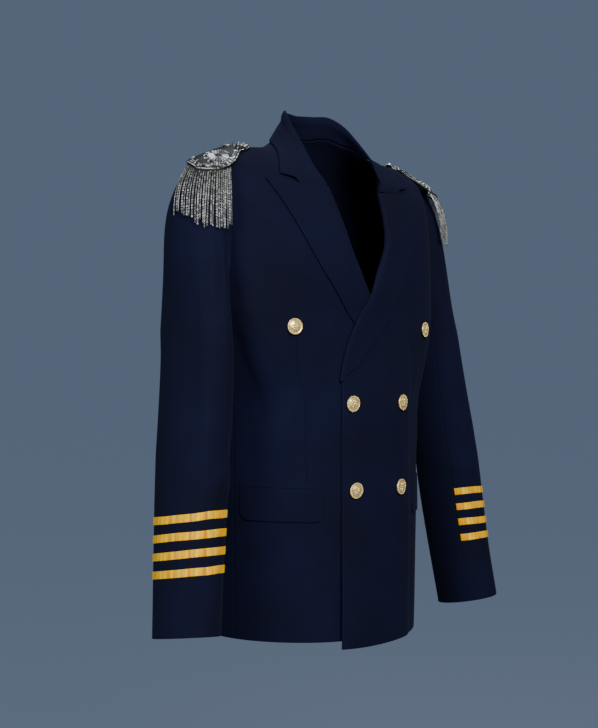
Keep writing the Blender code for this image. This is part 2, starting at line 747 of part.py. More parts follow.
def collar_section(share):
    """Middle line of the folded collar, from the neck seam over the crest to its outer edge."""
    neck_x, neck_y = read(NECK, share)
    fall_x, fall_y = read(FALL, share)
    crest = np.stack(read(CREST, share), -1)
    neck = raised(from_above(neck_x, neck_y), np.full(np.shape(share), STAND_REST))
    out = from_above(fall_x, fall_y)
    edge = raised(out, np.full(np.shape(share), COLLAR_REST + CLOTH / 2))
    return neck, crest, edge


def collar_lines(on_left):
    """Rows of the collar's middle surface, from the back's middle to its front end."""
    share = np.linspace(0, 1, 12)
    neck, crest, edge = collar_section(share)
    if on_left:
        crest = crest + np.array(COLLAR_LEFT_OUT) * ease(share, 0.55, 0.78)[:, None]
    steps = (0.0, 0.45, 0.86)
    stand = [neck + (crest - neck) * s for s in steps]
    outward = unit((edge - crest) * (1, 1, 0.0))
    top = crest + np.array([0, 0, 0.0016]) + outward * 0.0016
    shoulder = crest + (edge - crest) * 0.12 + outward * 0.0030
    falls = [crest + (edge - crest) * s for s in (0.28, 0.50, 0.75)]
    return np.stack([*stand, top, shoulder, *falls, edge], 1)


def make_collar():
    full = np.concatenate([collar_lines(False)[:0:-1] * (-1, 1, 1), collar_lines(True)])
    normal = -grid_normal(full)
    full = inset(full)
    outer, inner = full + normal * CLOTH / 2, full - normal * CLOTH / 2
    place = from_above(full[:, 3:, 0], full[:, 3:, 1])
    away = body_normal(place[..., 0], place[..., 1])
    under = ["front_left", "front_right", "back_left", "back_right"]
    outer[:, 3:], inner[:, 3:] = lay_over(outer[:, 3:], inner[:, 3:], away, under, COLLAR_REST)
    cloth("collar", outer, inner, navy("collar"))


# Pockets
def pocket_strip(side, above, deep, thick, corner, columns):
    """Outer and inner faces of a strip on the pocket's line, with its top above the flap's by above."""
    theta = np.linspace(FLAP_FROM, FLAP_TO, columns)
    along = (theta - FLAP_FROM) / (FLAP_TO - FLAP_FROM)
    top = FLAP_FRONT_Z + (FLAP_BACK_Z - FLAP_FRONT_Z) * along + above
    arc = np.cumsum(np.r_[0, np.linalg.norm(np.diff(body(theta, 0.45), axis=0), axis=-1)])
    end = np.minimum(arc, arc[-1] - arc)
    rise = corner - np.sqrt(np.clip(corner**2 - np.clip(corner - end, 0, corner) ** 2, 0, None))
    rows = []
    for share in (0, 1) if corner == 0 else (0, 0.5, 1):
        z = top - (deep - rise) * share
        hem = hem_height(theta)
        rows.append(np.stack([theta, (z - hem) / (CHEST_Z - hem)], -1))
    place = np.stack(rows[::-1])
    theta, level = place[..., 0], place[..., 1]
    base, normal = body(theta, level), body_normal(theta, level)
    lift = lift_needed(base, normal, ["front_" + side], POCKET_REST, side == "right", -LOOK_UNDER)
    inner = base + normal * lift[..., None]
    return inner + normal * thick, inner


def make_pockets():
    for side in ("left", "right"):
        right = side == "right"
        outer, inner = pocket_strip(side, 0, FLAP_DEEP, CLOTH, FLAP_CORNER, 13)
        cloth("flap_" + side, outer, inner, navy("flap_" + side), right)
        outer, inner = pocket_strip(side, WELT_DEEP + SEAM * 2, WELT_DEEP, TRIM, 0, 11)
        cloth("welt_" + side, outer, inner, navy("welt_" + side), right)


# Buttons: distance from the middle over the radius, height over the radius
BUTTON_SECTION = (
    (0.00, 0.00),
    (0.62, 0.00),
    (0.97, 0.16),
    (1.00, 0.27),
    (0.90, 0.36),
    (0.80, 0.31),
    (0.55, 0.44),
    (0.00, 0.54),
)


def make_button(name, x, z, under):
    """A button standing on the facets of the named front."""
    around = 18
    radius = BUTTON_D / 2
    place = from_front(np.array(x), np.array(z))
    normal = body_normal(place[0], place[1])
    centre = raised(place, np.array(0.0))
    side = unit(np.cross(np.array([0, 0, 1.0]), normal))
    up = np.cross(normal, side)
    turn = np.linspace(0, 2 * math.pi, around, endpoint=False)[:, None]
    ring = side * np.cos(turn) + up * np.sin(turn)
    foot = np.concatenate([centre[None], centre + ring * BUTTON_SECTION[1][0] * radius])
    away = np.broadcast_to(normal, foot.shape)
    lift = lift_needed(foot, away, [under], REST, least=-LOOK_UNDER)
    centre = centre + normal * lift.max()
    rings = []
    for out, high in BUTTON_SECTION[1:-1]:
        rings.append(centre + ring * out * radius + normal * high * radius)
    points = np.concatenate([[centre], *rings, [centre + normal * BUTTON_SECTION[-1][1] * radius]])
    faces = []
    last = len(points) - 1
    for k in range(around):
        n = (k + 1) % around
        faces.append((0, 1 + n, 1 + k))
        for ring in range(len(rings) - 1):
            a = 1 + ring * around
            faces.append((a + k, a + n, a + around + n, a + around + k))
        top = 1 + (len(rings) - 1) * around
        faces.append((top + k, top + n, last))
    add_mesh(name, points, faces, material(name + "_brass", (0.83, 0.66, 0.30), 0.3, 1.0))


def make_buttons():
    for row, (x, z) in BUTTONS.items():
        for side, sign in (("left", 1), ("right", -1)):
            under = "front_left" if sign * x > -OVERLAP_X else "front_right"
            make_button(f"button_{row}_{side}", sign * x, z, under)


# Shoulder boards and their fringe
def board_height(x, y):
    crest, fall = read(BOARD_RISE, x)
    return crest - fall * (np.hypot(y - BOARD_CREST_Y, BOARD_BEND) - BOARD_BEND)


def make_boards():
    share = np.array([0, 0.05, 0.15, 0.24, 0.31, 0.37, 0.43, 0.5, 0.58, 0.66, 0.74, 0.82, 0.89, 0.95, 1.0])
    start, end = np.array(BOARD_START), np.array(BOARD_END)
    ahead = unit(end - start)
    middle = start + share[:, None] * (end - start)
    over = np.linspace(-1, 1, 13)
    across = over[None, :, None] * read(BOARD, share)[0][:, None, None]
    plan = middle[:, None] + across * np.array([ahead[1], -ahead[0]])
    height = board_height(plan[..., 0], plan[..., 1])
    grid = np.concatenate([plan, height[..., None]], -1)
    normal = grid_normal(grid)
    normal = normal * np.sign(normal[..., 2:])
    away = np.linalg.norm(plan - np.array(MEDALLION), axis=-1)
    boss = MEDALLION_RISE * (1 - ease(away, 0.45 * MEDALLION_R, MEDALLION_R))
    boss = boss + BOARD_PAD * (1 - over**4)
    outer, inner = grid + normal * (BOARD_THICK + boss)[..., None], grid
    for side in ("left", "right"):
        silver = material(f"board_{side}_silver", (0.42, 0.40, 0.36), 0.35, 1.0)
        cloth("board_" + side, outer, inner, silver, side == "right")


def make_fringes():
    """Each fringe is one strip under the board's rim, with a chain hanging from every other cell."""
    ends = np.linspace(0, 1, 2 * STRANDS)
    path = fringe_path(ends)
    foot = fringe_path(ends, drop=1.0)
    tangent = unit(np.gradient(path, axis=0) * (1, 1, 0))
    outward = unit(np.cross(tangent, np.array([0, 0, 1.0])))
    for side in ("left", "right"):
        points, faces = fringe_mesh(path, foot, tangent, outward)
        if side == "right":
            points, faces = mirrored(points, faces)
        silver = material(f"fringe_{side}_silver", (0.42, 0.40, 0.37), 0.32, 1.0)
        add_mesh("fringe_" + side, points, faces, silver, smooth=False)


def fringe_path(share, drop=0.0):
    """Where the chains hang, from the board's front corner round its outer end."""
    root_turn = np.radians(ROOT_FROM + (ROOT_TO - ROOT_FROM) * share)
    foot_turn = np.radians(FOOT_FROM + (FOOT_TO - FOOT_FROM) * share)
    root_x = 0.2090 + 0.0310 * np.cos(root_turn)
    root_y = -0.0140 - 0.0295 * np.sin(root_turn)
    foot_x = 0.2190 + 0.0465 * np.cos(foot_turn)
    foot_y = -0.0605 * np.sin(foot_turn)
    ragged = 0.004 * np.sin(37.0 * share) + 0.003 * np.sin(101.0 * share + 1.0)
    top = board_height(root_x, root_y) - 0.0013
    foot_z = STRAND_END_Z + 0.020 * ease(share, 0.40, 1.0) + ragged
    root = np.stack([root_x, root_y, top], -1)
    return root + (np.stack([foot_x, foot_y, foot_z], -1) - root) * drop


def fringe_mesh(path, foot, tangent, outward):
    half = STRAND_THICK / 2
    strip = 0.0025
    points, faces = [], []
    count = len(path)
    top_out = path + outward * half
    top_in = path - outward * half
    down = np.array([0, 0, -strip])
    for layer in (top_out, top_in, top_out + down, top_in + down):
        points.extend(layer)
    for k in range(count - 1):
        a, b, c, d = k, count + k, 2 * count + k, 3 * count + k
        faces.append((a, a + 1, b + 1, b))
        faces.append((c, c + 1, a + 1, a))
        faces.append((b, b + 1, d + 1, d))
        if k % 2:
            faces.append((d, d + 1, c + 1, c))
            continue
        ring = [c, c + 1, d + 1, d]
        for share in (0.30, 0.62, 1.0):
            made = []
            hang = 1 - (1 - share) ** 2.6
            for at in (k, k + 1):
                mid = (path[k] + path[k + 1]) / 2
                low = (foot[k] + foot[k + 1]) / 2
                start = mid + down
                place = start + (low - start) * (hang, hang, share)
                sign = 1 if at > k else -1
                made.append(place + tangent[k] * half * sign)
            base = len(points)
            points.extend([made[0] + outward[k] * half, made[1] + outward[k] * half])
            points.extend([made[1] - outward[k] * half, made[0] - outward[k] * half])
            new = [base, base + 1, base + 2, base + 3]
            for i in range(4):
                j = (i + 1) % 4
                faces.append((ring[j], ring[i], new[i], new[j]))
            ring = new
        faces.append((ring[3], ring[2], ring[1], ring[0]))
    first = (0, count, 3 * count, 2 * count)
    last = (count - 1, 3 * count - 1, 4 * count - 1, 2 * count - 1)
    faces += [first, last]
    return np.array(points), faces


make_fronts()
make_sides()
make_backs()
make_sleeves()
make_stripes()
make_lapels()
make_collar()
make_pockets()
make_buttons()
make_boards()
make_fringes()
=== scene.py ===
"""A double-breasted suit jacket, worn shape and hollow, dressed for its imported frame.

Blender 4.5, metres, +Z up. The jacket faces -Y and +X is the wearer's left. Each cloth piece is a thin
shell on the same cut surface as its solid, with a finer mesh and its own creases.
"""

import math

import bpy
import numpy as np
from mathutils import Matrix, Vector
from mathutils.bvhtree import BVHTree


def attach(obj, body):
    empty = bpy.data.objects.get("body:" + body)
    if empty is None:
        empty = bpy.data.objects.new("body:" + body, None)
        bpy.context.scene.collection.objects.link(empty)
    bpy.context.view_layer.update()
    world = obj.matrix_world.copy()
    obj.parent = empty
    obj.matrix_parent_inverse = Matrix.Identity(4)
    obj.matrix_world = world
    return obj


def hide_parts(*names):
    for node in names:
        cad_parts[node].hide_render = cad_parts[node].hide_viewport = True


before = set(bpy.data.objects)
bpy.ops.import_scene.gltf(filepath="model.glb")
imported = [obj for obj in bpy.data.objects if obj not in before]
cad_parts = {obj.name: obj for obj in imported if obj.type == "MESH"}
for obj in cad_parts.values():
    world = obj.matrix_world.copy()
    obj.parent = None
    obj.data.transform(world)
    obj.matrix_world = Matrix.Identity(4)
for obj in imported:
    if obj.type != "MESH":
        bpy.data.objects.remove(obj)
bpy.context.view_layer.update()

# Camera, floor and light
# The camera looks level, from in front of the wearer's right shoulder, as in the photograph. The
# jacket hangs over a wide painted floor, before a plain grey-blue backdrop, and three soft round lamps
# light it.
IMAGE_HIGH = 728
FOCAL_PIXELS = 1469.0
SENSOR_MM = 36.0
camera_data = bpy.data.cameras.new("camera")
camera_data.sensor_width = SENSOR_MM
camera_data.lens = FOCAL_PIXELS * SENSOR_MM / IMAGE_HIGH
camera = bpy.data.objects.new("camera", camera_data)
camera.location = (-1.513, -1.483, -0.309)
camera.rotation_euler = (math.pi / 2, 0.0, -math.pi / 4)
bpy.context.scene.collection.objects.link(camera)
bpy.context.scene.camera = camera


def linear(hex_colour):
    """A colour written as sRGB hex, as the linear values that a shader takes."""
    parts = [int(hex_colour[k : k + 2], 16) / 255 for k in (1, 3, 5)]
    return (*[p / 12.92 if p <= 0.04045 else ((p + 0.055) / 1.055) ** 2.4 for p in parts], 1.0)


def new_material(name, base, roughness, metallic=0.0):
    """A new material and its shader."""
    material = bpy.data.materials.new(name)
    material.use_nodes = True
    shader = material.node_tree.nodes["Principled BSDF"]
    shader.inputs["Base Color"].default_value = linear(base)
    shader.inputs["Roughness"].default_value = roughness
    shader.inputs["Metallic"].default_value = metallic
    return material, shader


FLOOR_Z = -1.45
FLOOR_R = 40.0
BACKDROP = "#58657A"
FLOOR_PAINT = "#4C5156"
bpy.ops.object.select_all(action="DESELECT")
bpy.ops.mesh.primitive_circle_add(vertices=96, radius=FLOOR_R, fill_type="NGON", location=(0, 0, FLOOR_Z))
floor = bpy.context.object
floor.name = "studio_floor"
# Dull floor paint, with no shine at all. It glows by what it swallows of the backdrop's light, so that
# floor and backdrop meet without a line.
floor_paint, floor_shader = new_material("studio_floor_paint", FLOOR_PAINT, 1.0)
floor_shader.inputs["Specular IOR Level"].default_value = 0.0
swallowed = [glow * (1 - paint) for glow, paint in zip(linear(BACKDROP)[:3], linear(FLOOR_PAINT)[:3])]
floor_shader.inputs["Emission Color"].default_value = (*swallowed, 1.0)
floor_shader.inputs["Emission Strength"].default_value = 1.0
floor.data.materials.append(floor_paint)

world = bpy.data.worlds.new("studio")
world.use_nodes = True
background = world.node_tree.nodes["Background"]
background.inputs["Color"].default_value = linear(BACKDROP)
background.inputs["Strength"].default_value = 1.0
bpy.context.scene.world = world

# name, place, what it looks at, size, watts, colour
STUDIO_LIGHTS = (
    ("key", (-1.4, -2.9, 1.3), (0.0, 0.0, -0.30), 1.8, 190.0, "#FFF8F0"),
    ("side", (-3.2, -0.6, 0.6), (0.0, 0.0, -0.35), 1.6, 62.0, "#F4F7FF"),
    ("top", (0.9, 0.4, 2.4), (0.0, 0.0, -0.10), 1.6, 12.0, "#F2F6FF"),
)
for name, place, aim, size, watts, colour in STUDIO_LIGHTS:
    lamp = bpy.data.lights.new(name, "AREA")
    lamp.shape = "DISK"
    lamp.size = size
    lamp.energy = watts
    lamp.color = linear(colour)[:3]
    light = bpy.data.objects.new(name, lamp)
    light.location = place
    light.rotation_euler = (Vector(aim) - Vector(place)).to_track_quat("-Z", "Y").to_euler()
    bpy.context.scene.collection.objects.link(light)

# Fronts
# Two fronts of dark navy worsted, cut to the wearer's figure with a dart from the breast to the
# pocket. The wearer's left one laps over the right one, and its free edge stands off near the hem.
# Heights are from the shoulder beside the collar, and widths from the jacket's middle.
CHEST_Z = -0.235
SHOULDER_HALF = 0.216
BACK_SQUARE = 2.15
HEM_FRONT_Z = -0.6865
HEM_SIDE_Z = -0.6810
HEM_DROP = {"left": 0.010, "right": 0.0}  # how much lower the hem hangs on that side's front
OVERLAP_X = 0.0655
CLOTH = 0.0020
SEAM = -0.00004  # sewn edges press into each other by this, so that no light comes through

# height, half width, depth in front, squareness in front, depth behind
BODY = (
    (-0.720, 0.168, 0.1215, 2.0, 0.121),
    (-0.690, 0.169, 0.1225, 2.0, 0.121),
    (-0.600, 0.171, 0.1240, 2.0, 0.121),
    (-0.500, 0.173, 0.1250, 2.0, 0.112),
    (-0.420, 0.173, 0.1245, 2.0, 0.100),
    (-0.350, 0.176, 0.1235, 2.1, 0.102),
    (-0.290, 0.191, 0.1130, 2.6, 0.112),
    (-0.235, 0.202, 0.1055, 2.9, 0.120),
    (-0.180, 0.205, 0.1040, 3.0, 0.122),
)
# distance from the middle, height of the shoulder's top, squareness of the shoulder from front to back
SHOULDER = (
    (0.000, 0.046, 1.85),
    (0.045, 0.030, 1.85),
    (0.066, 0.012, 1.9),
    (0.084, 0.000, 2.0),
    (0.144, -0.013, 2.4),
    (0.190, -0.028, 2.9),
    (0.216, -0.038, 3.2),
    (0.240, -0.048, 3.4),
)
# degrees round the armhole from its top, to the front first, degrees round the body, level
ARMHOLE = (
    (-30, 106.0, 1.86),
    (0, 90.0, 2.00),
    (30, 75.0, 1.84),
    (60, 69.0, 1.60),
    (90, 67.5, 1.37),
    (120, 70.0, 1.16),
    (150, 79.0, 1.03),
    (180, 90.0, 0.985),
    (210, 103.0, 1.03),
    (240, 111.0, 1.17),
    (270, 115.0, 1.42),
    (300, 113.0, 1.66),
    (330, 106.0, 1.86),
    (360, 90.0, 2.00),
    (390, 75.0, 1.84),
)
SIDE_SEAM_AT = 161
BACK_SEAM_AT = 240
# Soft folds of the body: degrees round it, level, size round it, size up it, height
BODY_FOLDS = (
    (71, 0.88, 8.0, 0.300, -0.0035),
    (55, 0.80, 8.0, 0.250, 0.0018),
    (62, 0.60, 14.0, 0.060, 0.0016),
    (92, 0.63, 18.0, 0.055, -0.0020),
    (134, 1.05, 7.0, 0.280, -0.0035),
    (152, 1.20, 12.0, 0.220, 0.0022),
    (165, 0.55, 16.0, 0.070, -0.0022),
)
# Finer creases, on one side or the other: side, degrees round it, level, lean, width in degrees,
# length in levels, height. The lean is how many degrees round the crease moves for each level up.
BODY_CREASES = (
    ("right", 60, 0.98, 60, 3.0, 0.16, -0.0010),
    ("right", 54, 0.93, 75, 3.2, 0.13, 0.0008),
    ("right", 66, 0.76, 25, 2.8, 0.20, -0.0012),
    ("right", 50, 0.66, -55, 4.0, 0.07, 0.0007),
    ("right", 30, 0.34, 12, 3.5, 0.26, 0.0007),
    ("right", 22, 0.22, -8, 3.0, 0.22, -0.0009),
    ("right", 74, 0.58, -120, 5.0, 0.05, -0.0009),
    ("left", 58, 0.96, 55, 3.0, 0.15, -0.0010),
    ("left", 52, 0.90, 70, 3.4, 0.12, 0.0008),
    ("left", 40, 0.72, 35, 3.4, 0.12, -0.0007),
    ("left", 12, 0.30, -10, 3.4, 0.24, 0.0008),
    ("left", 2, 0.25, 6, 3.0, 0.22, -0.0008),
    ("left", 64, 0.62, -70, 4.2, 0.06, 0.0009),
    ("both", 100, 0.70, -70, 4.0, 0.09, -0.0012),
    ("both", 112, 0.60, -60, 4.5, 0.08, 0.0010),
    ("both", 128, 0.86, 20, 3.5, 0.22, -0.0014),
    ("right", 148, 0.50, -90, 5.0, 0.06, -0.0013),
    ("left", 150, 0.56, -80, 5.5, 0.05, -0.0012),
    ("both", 158, 0.98, 30, 5.0, 0.14, 0.0010),
    ("right", 170, 0.66, 15, 3.0, 0.16, -0.0009),
    ("left", 166, 0.25, -8, 3.6, 0.20, 0.0010),
    ("both", 140, 0.18, 5, 4.0, 0.18, -0.0012),
)


def read(table, key):
    """Smooth values of a table's later columns where its first column is key."""
    rows = np.asarray(sorted(table), float)
    at, value = rows[:, 0], rows[:, 1:]
    slope = np.gradient(value, at, axis=0)
    key = np.clip(np.asarray(key, float), at[0], at[-1])
    low = np.clip(np.searchsorted(at, key, side="right") - 1, 0, len(at) - 2)
    step = (at[low + 1] - at[low])[..., None]
    f = (key - at[low])[..., None] / step
    near = value[low] * (1 + 2 * f) * (1 - f) ** 2 + slope[low] * step * f * (1 - f) ** 2
    far = value[low + 1] * f**2 * (3 - 2 * f) + slope[low + 1] * step * f**2 * (f - 1)
    return np.moveaxis(near + far, -1, 0)


def ease(value, start, end):
    """0 before start, 1 after end, and smooth between them."""
    f = np.clip((value - start) / (end - start), 0, 1)
    return f * f * (3 - 2 * f)


def unit(vector):
    return vector / np.maximum(np.linalg.norm(vector, axis=-1, keepdims=True), 1e-12)


def folds(table, round_, up):
    """Height of the soft folds at one place of the body or a sleeve."""
    height = np.zeros(np.broadcast(round_, up).shape)
    for at_round, at_up, wide, tall, rise in table:
        off = np.mod(round_ - at_round + 180, 360) - 180
        height = height + rise * np.exp(-((off / wide) ** 2) - ((up - at_up) / tall) ** 2)
    return height


def creases(table, side, round_, up):
    """Height of the finer creases, each a soft line that leans and fades out at both ends."""
    height = np.zeros(np.broadcast(round_, up).shape)
    for where, at_round, at_up, lean, wide, tall, rise in table:
        if where in (side, "both"):
            off = np.mod(round_ - at_round - lean * (up - at_up) + 180, 360) - 180
            line = np.exp(-((off / wide) ** 2)) - 0.30 * np.exp(-((off / (2.4 * wide)) ** 2))
            height = height + rise * line * np.exp(-(((up - at_up) / tall) ** 4))
    return height


def hem_height(theta):
    return HEM_SIDE_Z + (HEM_FRONT_Z - HEM_SIDE_Z) * np.clip(np.cos(np.radians(theta)), 0, 1) ** 2


def body(theta, level):
    """Outer face of the jacket. theta is in degrees round the body from the front's middle to the
    side. level is 0 at the hem, 1 at the armpit and 2 on top of the shoulder."""
    theta, level = np.broadcast_arrays(np.asarray(theta, float), np.asarray(level, float))
    across, ahead = np.sin(np.radians(theta)), np.cos(np.radians(theta))
    up = np.clip(level - 1, 0, 1) * math.pi / 2
    hem = hem_height(theta)
    low_z = hem + (CHEST_Z - hem) * np.minimum(level, 1)
    half, deep, box, behind = read(BODY, low_z)
    half = half + (SHOULDER_HALF - half) * (1 - np.cos(up))
    box = np.where(ahead > 0, box, BACK_SQUARE)
    plan = (np.abs(across) ** box + np.abs(ahead) ** box) ** (1 / box)
    across, ahead = across / plan, ahead / plan
    x = half * across
    top, square = read(SHOULDER, np.abs(x))
    turn = (np.cos(up) ** square + np.sin(up) ** square) ** (1 / square)
    y = -np.where(ahead > 0, deep, behind) * ahead * np.cos(up) / turn
    z = np.where(level > 1, CHEST_Z + (top - CHEST_Z) * np.sin(up) / turn, low_z)
    fold = folds(BODY_FOLDS, np.abs(theta), level) * np.clip(1.9 - level, 0, 1)
    x = x + fold * np.sin(np.radians(theta))
    y = y - fold * np.cos(np.radians(theta))
    return np.stack([x, y, z], -1)


def body_normal(theta, level):
    """Direction out of the body, measured across a small patch of its surface."""
    side = np.minimum(np.asarray(level, float), 1.997)
    round_ = body(theta + 0.2, side) - body(theta - 0.2, side)
    up = body(theta, side + 0.002) - body(theta, side - 0.002)
    return unit(np.cross(round_, up))


def from_front(x, z):
    """theta and level of the front's point at x and z."""
    x, z = np.broadcast_arrays(np.asarray(x, float), np.asarray(z, float))
    top, square = read(SHOULDER, np.abs(x))
    rise = np.clip((z - CHEST_Z) / (top - CHEST_Z), 0, 0.9999)
    up = np.arctan2(rise, (1 - rise**square) ** (1 / square))
    half, _, box, _ = read(BODY, np.minimum(z, CHEST_Z))
    half = half + (SHOULDER_HALF - half) * (1 - np.cos(up))
    across = np.clip(np.abs(x) / half, 0, 1)
    theta = np.degrees(np.arctan2(np.sign(x) * across, (1 - across**box) ** (1 / box)))
    hem = hem_height(theta)
    low = (z - hem) / (CHEST_Z - hem)
    return np.stack([theta, np.where(z > CHEST_Z, 1 + up / (math.pi / 2), low)], -1)


def from_above(x, y):
    """theta and level of the point above x and y, on the chest, the shoulder or the upper back."""
    x, y = np.broadcast_arrays(np.asarray(x, float), np.asarray(y, float))
    chest_half, chest_deep, chest_box, chest_behind = read(BODY, CHEST_Z)
    square = read(SHOULDER, np.abs(x))[1]
    box = np.where(y < 0, chest_box, BACK_SQUARE)
    up = np.full(x.shape, math.pi / 4)
    for _ in range(8):
        half = chest_half + (SHOULDER_HALF - chest_half) * (1 - np.cos(up))
        across = np.clip(np.abs(x) / half, 0, 0.9999)
        ahead = (1 - across**box) ** (1 / box)
        deep = np.where(y < 0, chest_deep, chest_behind) * ahead
        out = np.clip(np.abs(y) / deep, 0, 0.9999)
        up = np.arctan2((1 - out**square) ** (1 / square), out)
    theta = np.degrees(np.arctan2(np.sign(x) * across, ahead))
    theta = np.where(y > 0, np.sign(x + 1e-9) * 180 - theta, theta)
    return np.stack([theta, 1 + up / (math.pi / 2)], -1)


# The left front stands out over the right one and fades back between these
LAP_END_X = (0.070, 0.091)
LAP_TOP_Z = (-0.205, -0.150)
# extra height over the right lapel's foot and along the chest: height, x, z
LAP_BUMPS = (
    (0.0050, 0.002, -0.218),
    (0.0026, -0.026, -0.250),
    (0.0030, 0.045, -0.140),
    (0.0015, 0.050, -0.100),
)
LAP_BUMP_SIZE = 0.020
LAP_FLARE = 0.0045
LAP_FLARE_Z = (0.500, 0.690)
LAP_REST = 0.0012


def over(x, z):
    """How far the left front stands out, to lie over the right front and its lapel."""
    lapped = (1 - ease(x, *LAP_END_X)) * (1 - ease(z, *LAP_TOP_Z))
    height = (CLOTH + LAP_REST) * lapped
    height = height + LAP_FLARE * ease(-x, -0.030, OVERLAP_X) * ease(-z, *LAP_FLARE_Z)
    for bump, at_x, at_z in LAP_BUMPS:
        height = height + bump * np.exp(-((x - at_x) ** 2 + (z - at_z) ** 2) / (2 * LAP_BUMP_SIZE**2))
    return height


def cloth_on_body(place, side, extra=0.0):
    """Outer points of the cloth at theta and level, with its creases, and the direction out of it."""
    theta, level = place[..., 0], place[..., 1]
    base, normal = body(theta, level), body_normal(theta, level)
    height = creases(BODY_CREASES, side, theta, level) * np.clip(1.8 - level, 0, 1) + extra
    if side == "left":
        height = height + over(base[..., 0], base[..., 2]) * (base[..., 1] < 0)
    return base + normal * height[..., None], normal


def armhole(psi):
    theta, level = read(ARMHOLE, np.mod(psi, 360))
    return np.stack([theta, level], -1)


def bordered(grid, radii, ends=None):
    """The grid with three more rows and columns inside each edge, within radii of it: of the first
    row, the last row, the first column and the last column. ends holds the shares of a first call."""
    found = []
    for axis in (0, 1):
        lines = np.moveaxis(grid, axis, 0)
        if ends is None:
            pair = []
            for edge, near, radius in ((0, 1, radii[2 * axis]), (-1, -2, radii[2 * axis + 1])):
                gap = np.linalg.norm(lines[near] - lines[edge], axis=-1, keepdims=True) + 1e-9
                pair.append([np.minimum(radius * s / gap, 0.9 * s) for s in (0.12, 0.45, 1.0)])
        else:
            pair = ends[axis]
        found.append(pair)
        start = [lines[0] + (lines[1] - lines[0]) * s for s in pair[0]]
        stop = [lines[-1] + (lines[-2] - lines[-1]) * s for s in pair[1][::-1]]
        lines = np.concatenate([lines[:1], start, lines[1:-1], stop, lines[-1:]])
        grid = np.moveaxis(lines, 0, axis)
    return grid, found


def inset(grid, gap=SEAM):
    """The grid with its four edges moved in by gap."""
    grid = grid.copy()
    grid[0] += unit(grid[1] - grid[0]) * gap
    grid[-1] += unit(grid[-2] - grid[-1]) * gap
    grid[:, 0] += unit(grid[:, 1] - grid[:, 0]) * gap
    grid[:, -1] += unit(grid[:, -2] - grid[:, -1]) * gap
    return grid


def close_edges(piece):
    """Joins the two faces of a shell along its rim, turns all of it to face out, and smooths it."""
    bpy.ops.object.select_all(action="DESELECT")
    piece.select_set(True)
    bpy.context.view_layer.objects.active = piece
    bpy.ops.object.mode_set(mode="EDIT")
    bpy.ops.mesh.select_all(action="SELECT")
    bpy.ops.mesh.remove_doubles(threshold=0.000005)
    bpy.ops.mesh.dissolve_degenerate(threshold=0.000001)
    bpy.ops.mesh.normals_make_consistent(inside=False)
    bpy.ops.object.mode_set(mode="OBJECT")
    piece.select_set(False)
    piece.data.polygons.foreach_set("use_smooth", [True] * len(piece.data.polygons))


def add_piece(name, points, faces, material, node=None):
    """A mesh object that rides on the jacket, and stands for a CAD node if one is named."""
    mesh = bpy.data.meshes.new(name)
    mesh.from_pydata(points.tolist(), [], faces)
    mesh.materials.append(material)
    piece = bpy.data.objects.new(name, mesh)
    bpy.context.scene.collection.objects.link(piece)
    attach(piece, "root")
    if node:
        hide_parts(node)
    return piece


def sew(
    name, outer, normal, material, node, edges, thick=CLOTH, right=False
):
    """One cut piece as a closed thin shell with rounded edges, riding on the jacket. Its UV map is in
    metres along the cloth, so that a weave keeps its real size."""
    outer, ends = bordered(inset(outer), edges)
    normal = unit(bordered(normal, edges, ends)[0])
    rows, columns = outer.shape[:2]
    profile = np.ones((rows, columns))
    for at, height in ((0, 0.0), (1, 0.47), (2, 0.84)):
        for line in (profile[at], profile[-1 - at], profile[:, at], profile[:, -1 - at]):
            line[:] = np.minimum(line, height)
    middle = outer - normal * thick / 2
    front = middle + normal * (profile * thick / 2)[..., None]
    back = middle - normal * (profile * thick / 2)[..., None]
    along = np.cumsum(np.linalg.norm(np.diff(middle, axis=1, prepend=middle[:, :1]), axis=-1), 1)
    along = along - along[:, columns // 2 : columns // 2 + 1]
    upward = np.cumsum(np.linalg.norm(np.diff(middle, axis=0, prepend=middle[:1]), axis=-1), 0)
    if right:
        front, back = front * (-1, 1, 1), back * (-1, 1, 1)
    points = np.concatenate([front.reshape(-1, 3), back.reshape(-1, 3)])
    uv = np.concatenate([np.stack([along, upward], -1).reshape(-1, 2)] * 2)
    r, c = np.meshgrid(np.arange(rows - 1), np.arange(columns - 1), indexing="ij")
    a = (r * columns + c).ravel()
    ring = np.stack([a, a + 1, a + columns + 1, a + columns], -1)
    if right:
        ring = ring[:, ::-1]
    faces = np.concatenate([ring, ring[:, ::-1] + rows * columns])
    piece = add_piece(name, points, faces.tolist(), material, node)
    layer = piece.data.uv_layers.new(name="cloth")
    corners = np.zeros(len(piece.data.loops), int)
    piece.data.loops.foreach_get("vertex_index", corners)
    layer.data.foreach_set("uv", uv[corners].ravel())
    close_edges(piece)


def add_node(material, kind, settings=None, links=None, **values):
    """One node in a material: settings are its own properties, links are input: output pairs."""
    node = material.node_tree.nodes.new(kind)
    for key, value in (settings or {}).items():
        setattr(node, key, value)
    for key, value in values.items():
        node.inputs[key.replace("_", " ")].default_value = value
    for key, output in (links or {}).items():
        material.node_tree.links.new(output, node.inputs[key])
    return node


def vary_colour(material, shader, place, per_metre, detail, low, high):
    """Makes the base colour wander softly between low and high, each a share of the noise and a
    colour, with so many changes to a metre."""
    noise = add_node(material, "ShaderNodeTexNoise", None, {"Vector": place}, Scale=per_metre, Detail=detail)
    ramp = add_node(material, "ShaderNodeValToRGB", None, {"Fac": noise.outputs["Fac"]})
    for element, (position, colour) in zip(ramp.color_ramp.elements, (low, high)):
        element.position = position
        element.color = linear(colour)
    material.node_tree.links.new(ramp.outputs["Color"], shader.inputs["Base Color"])


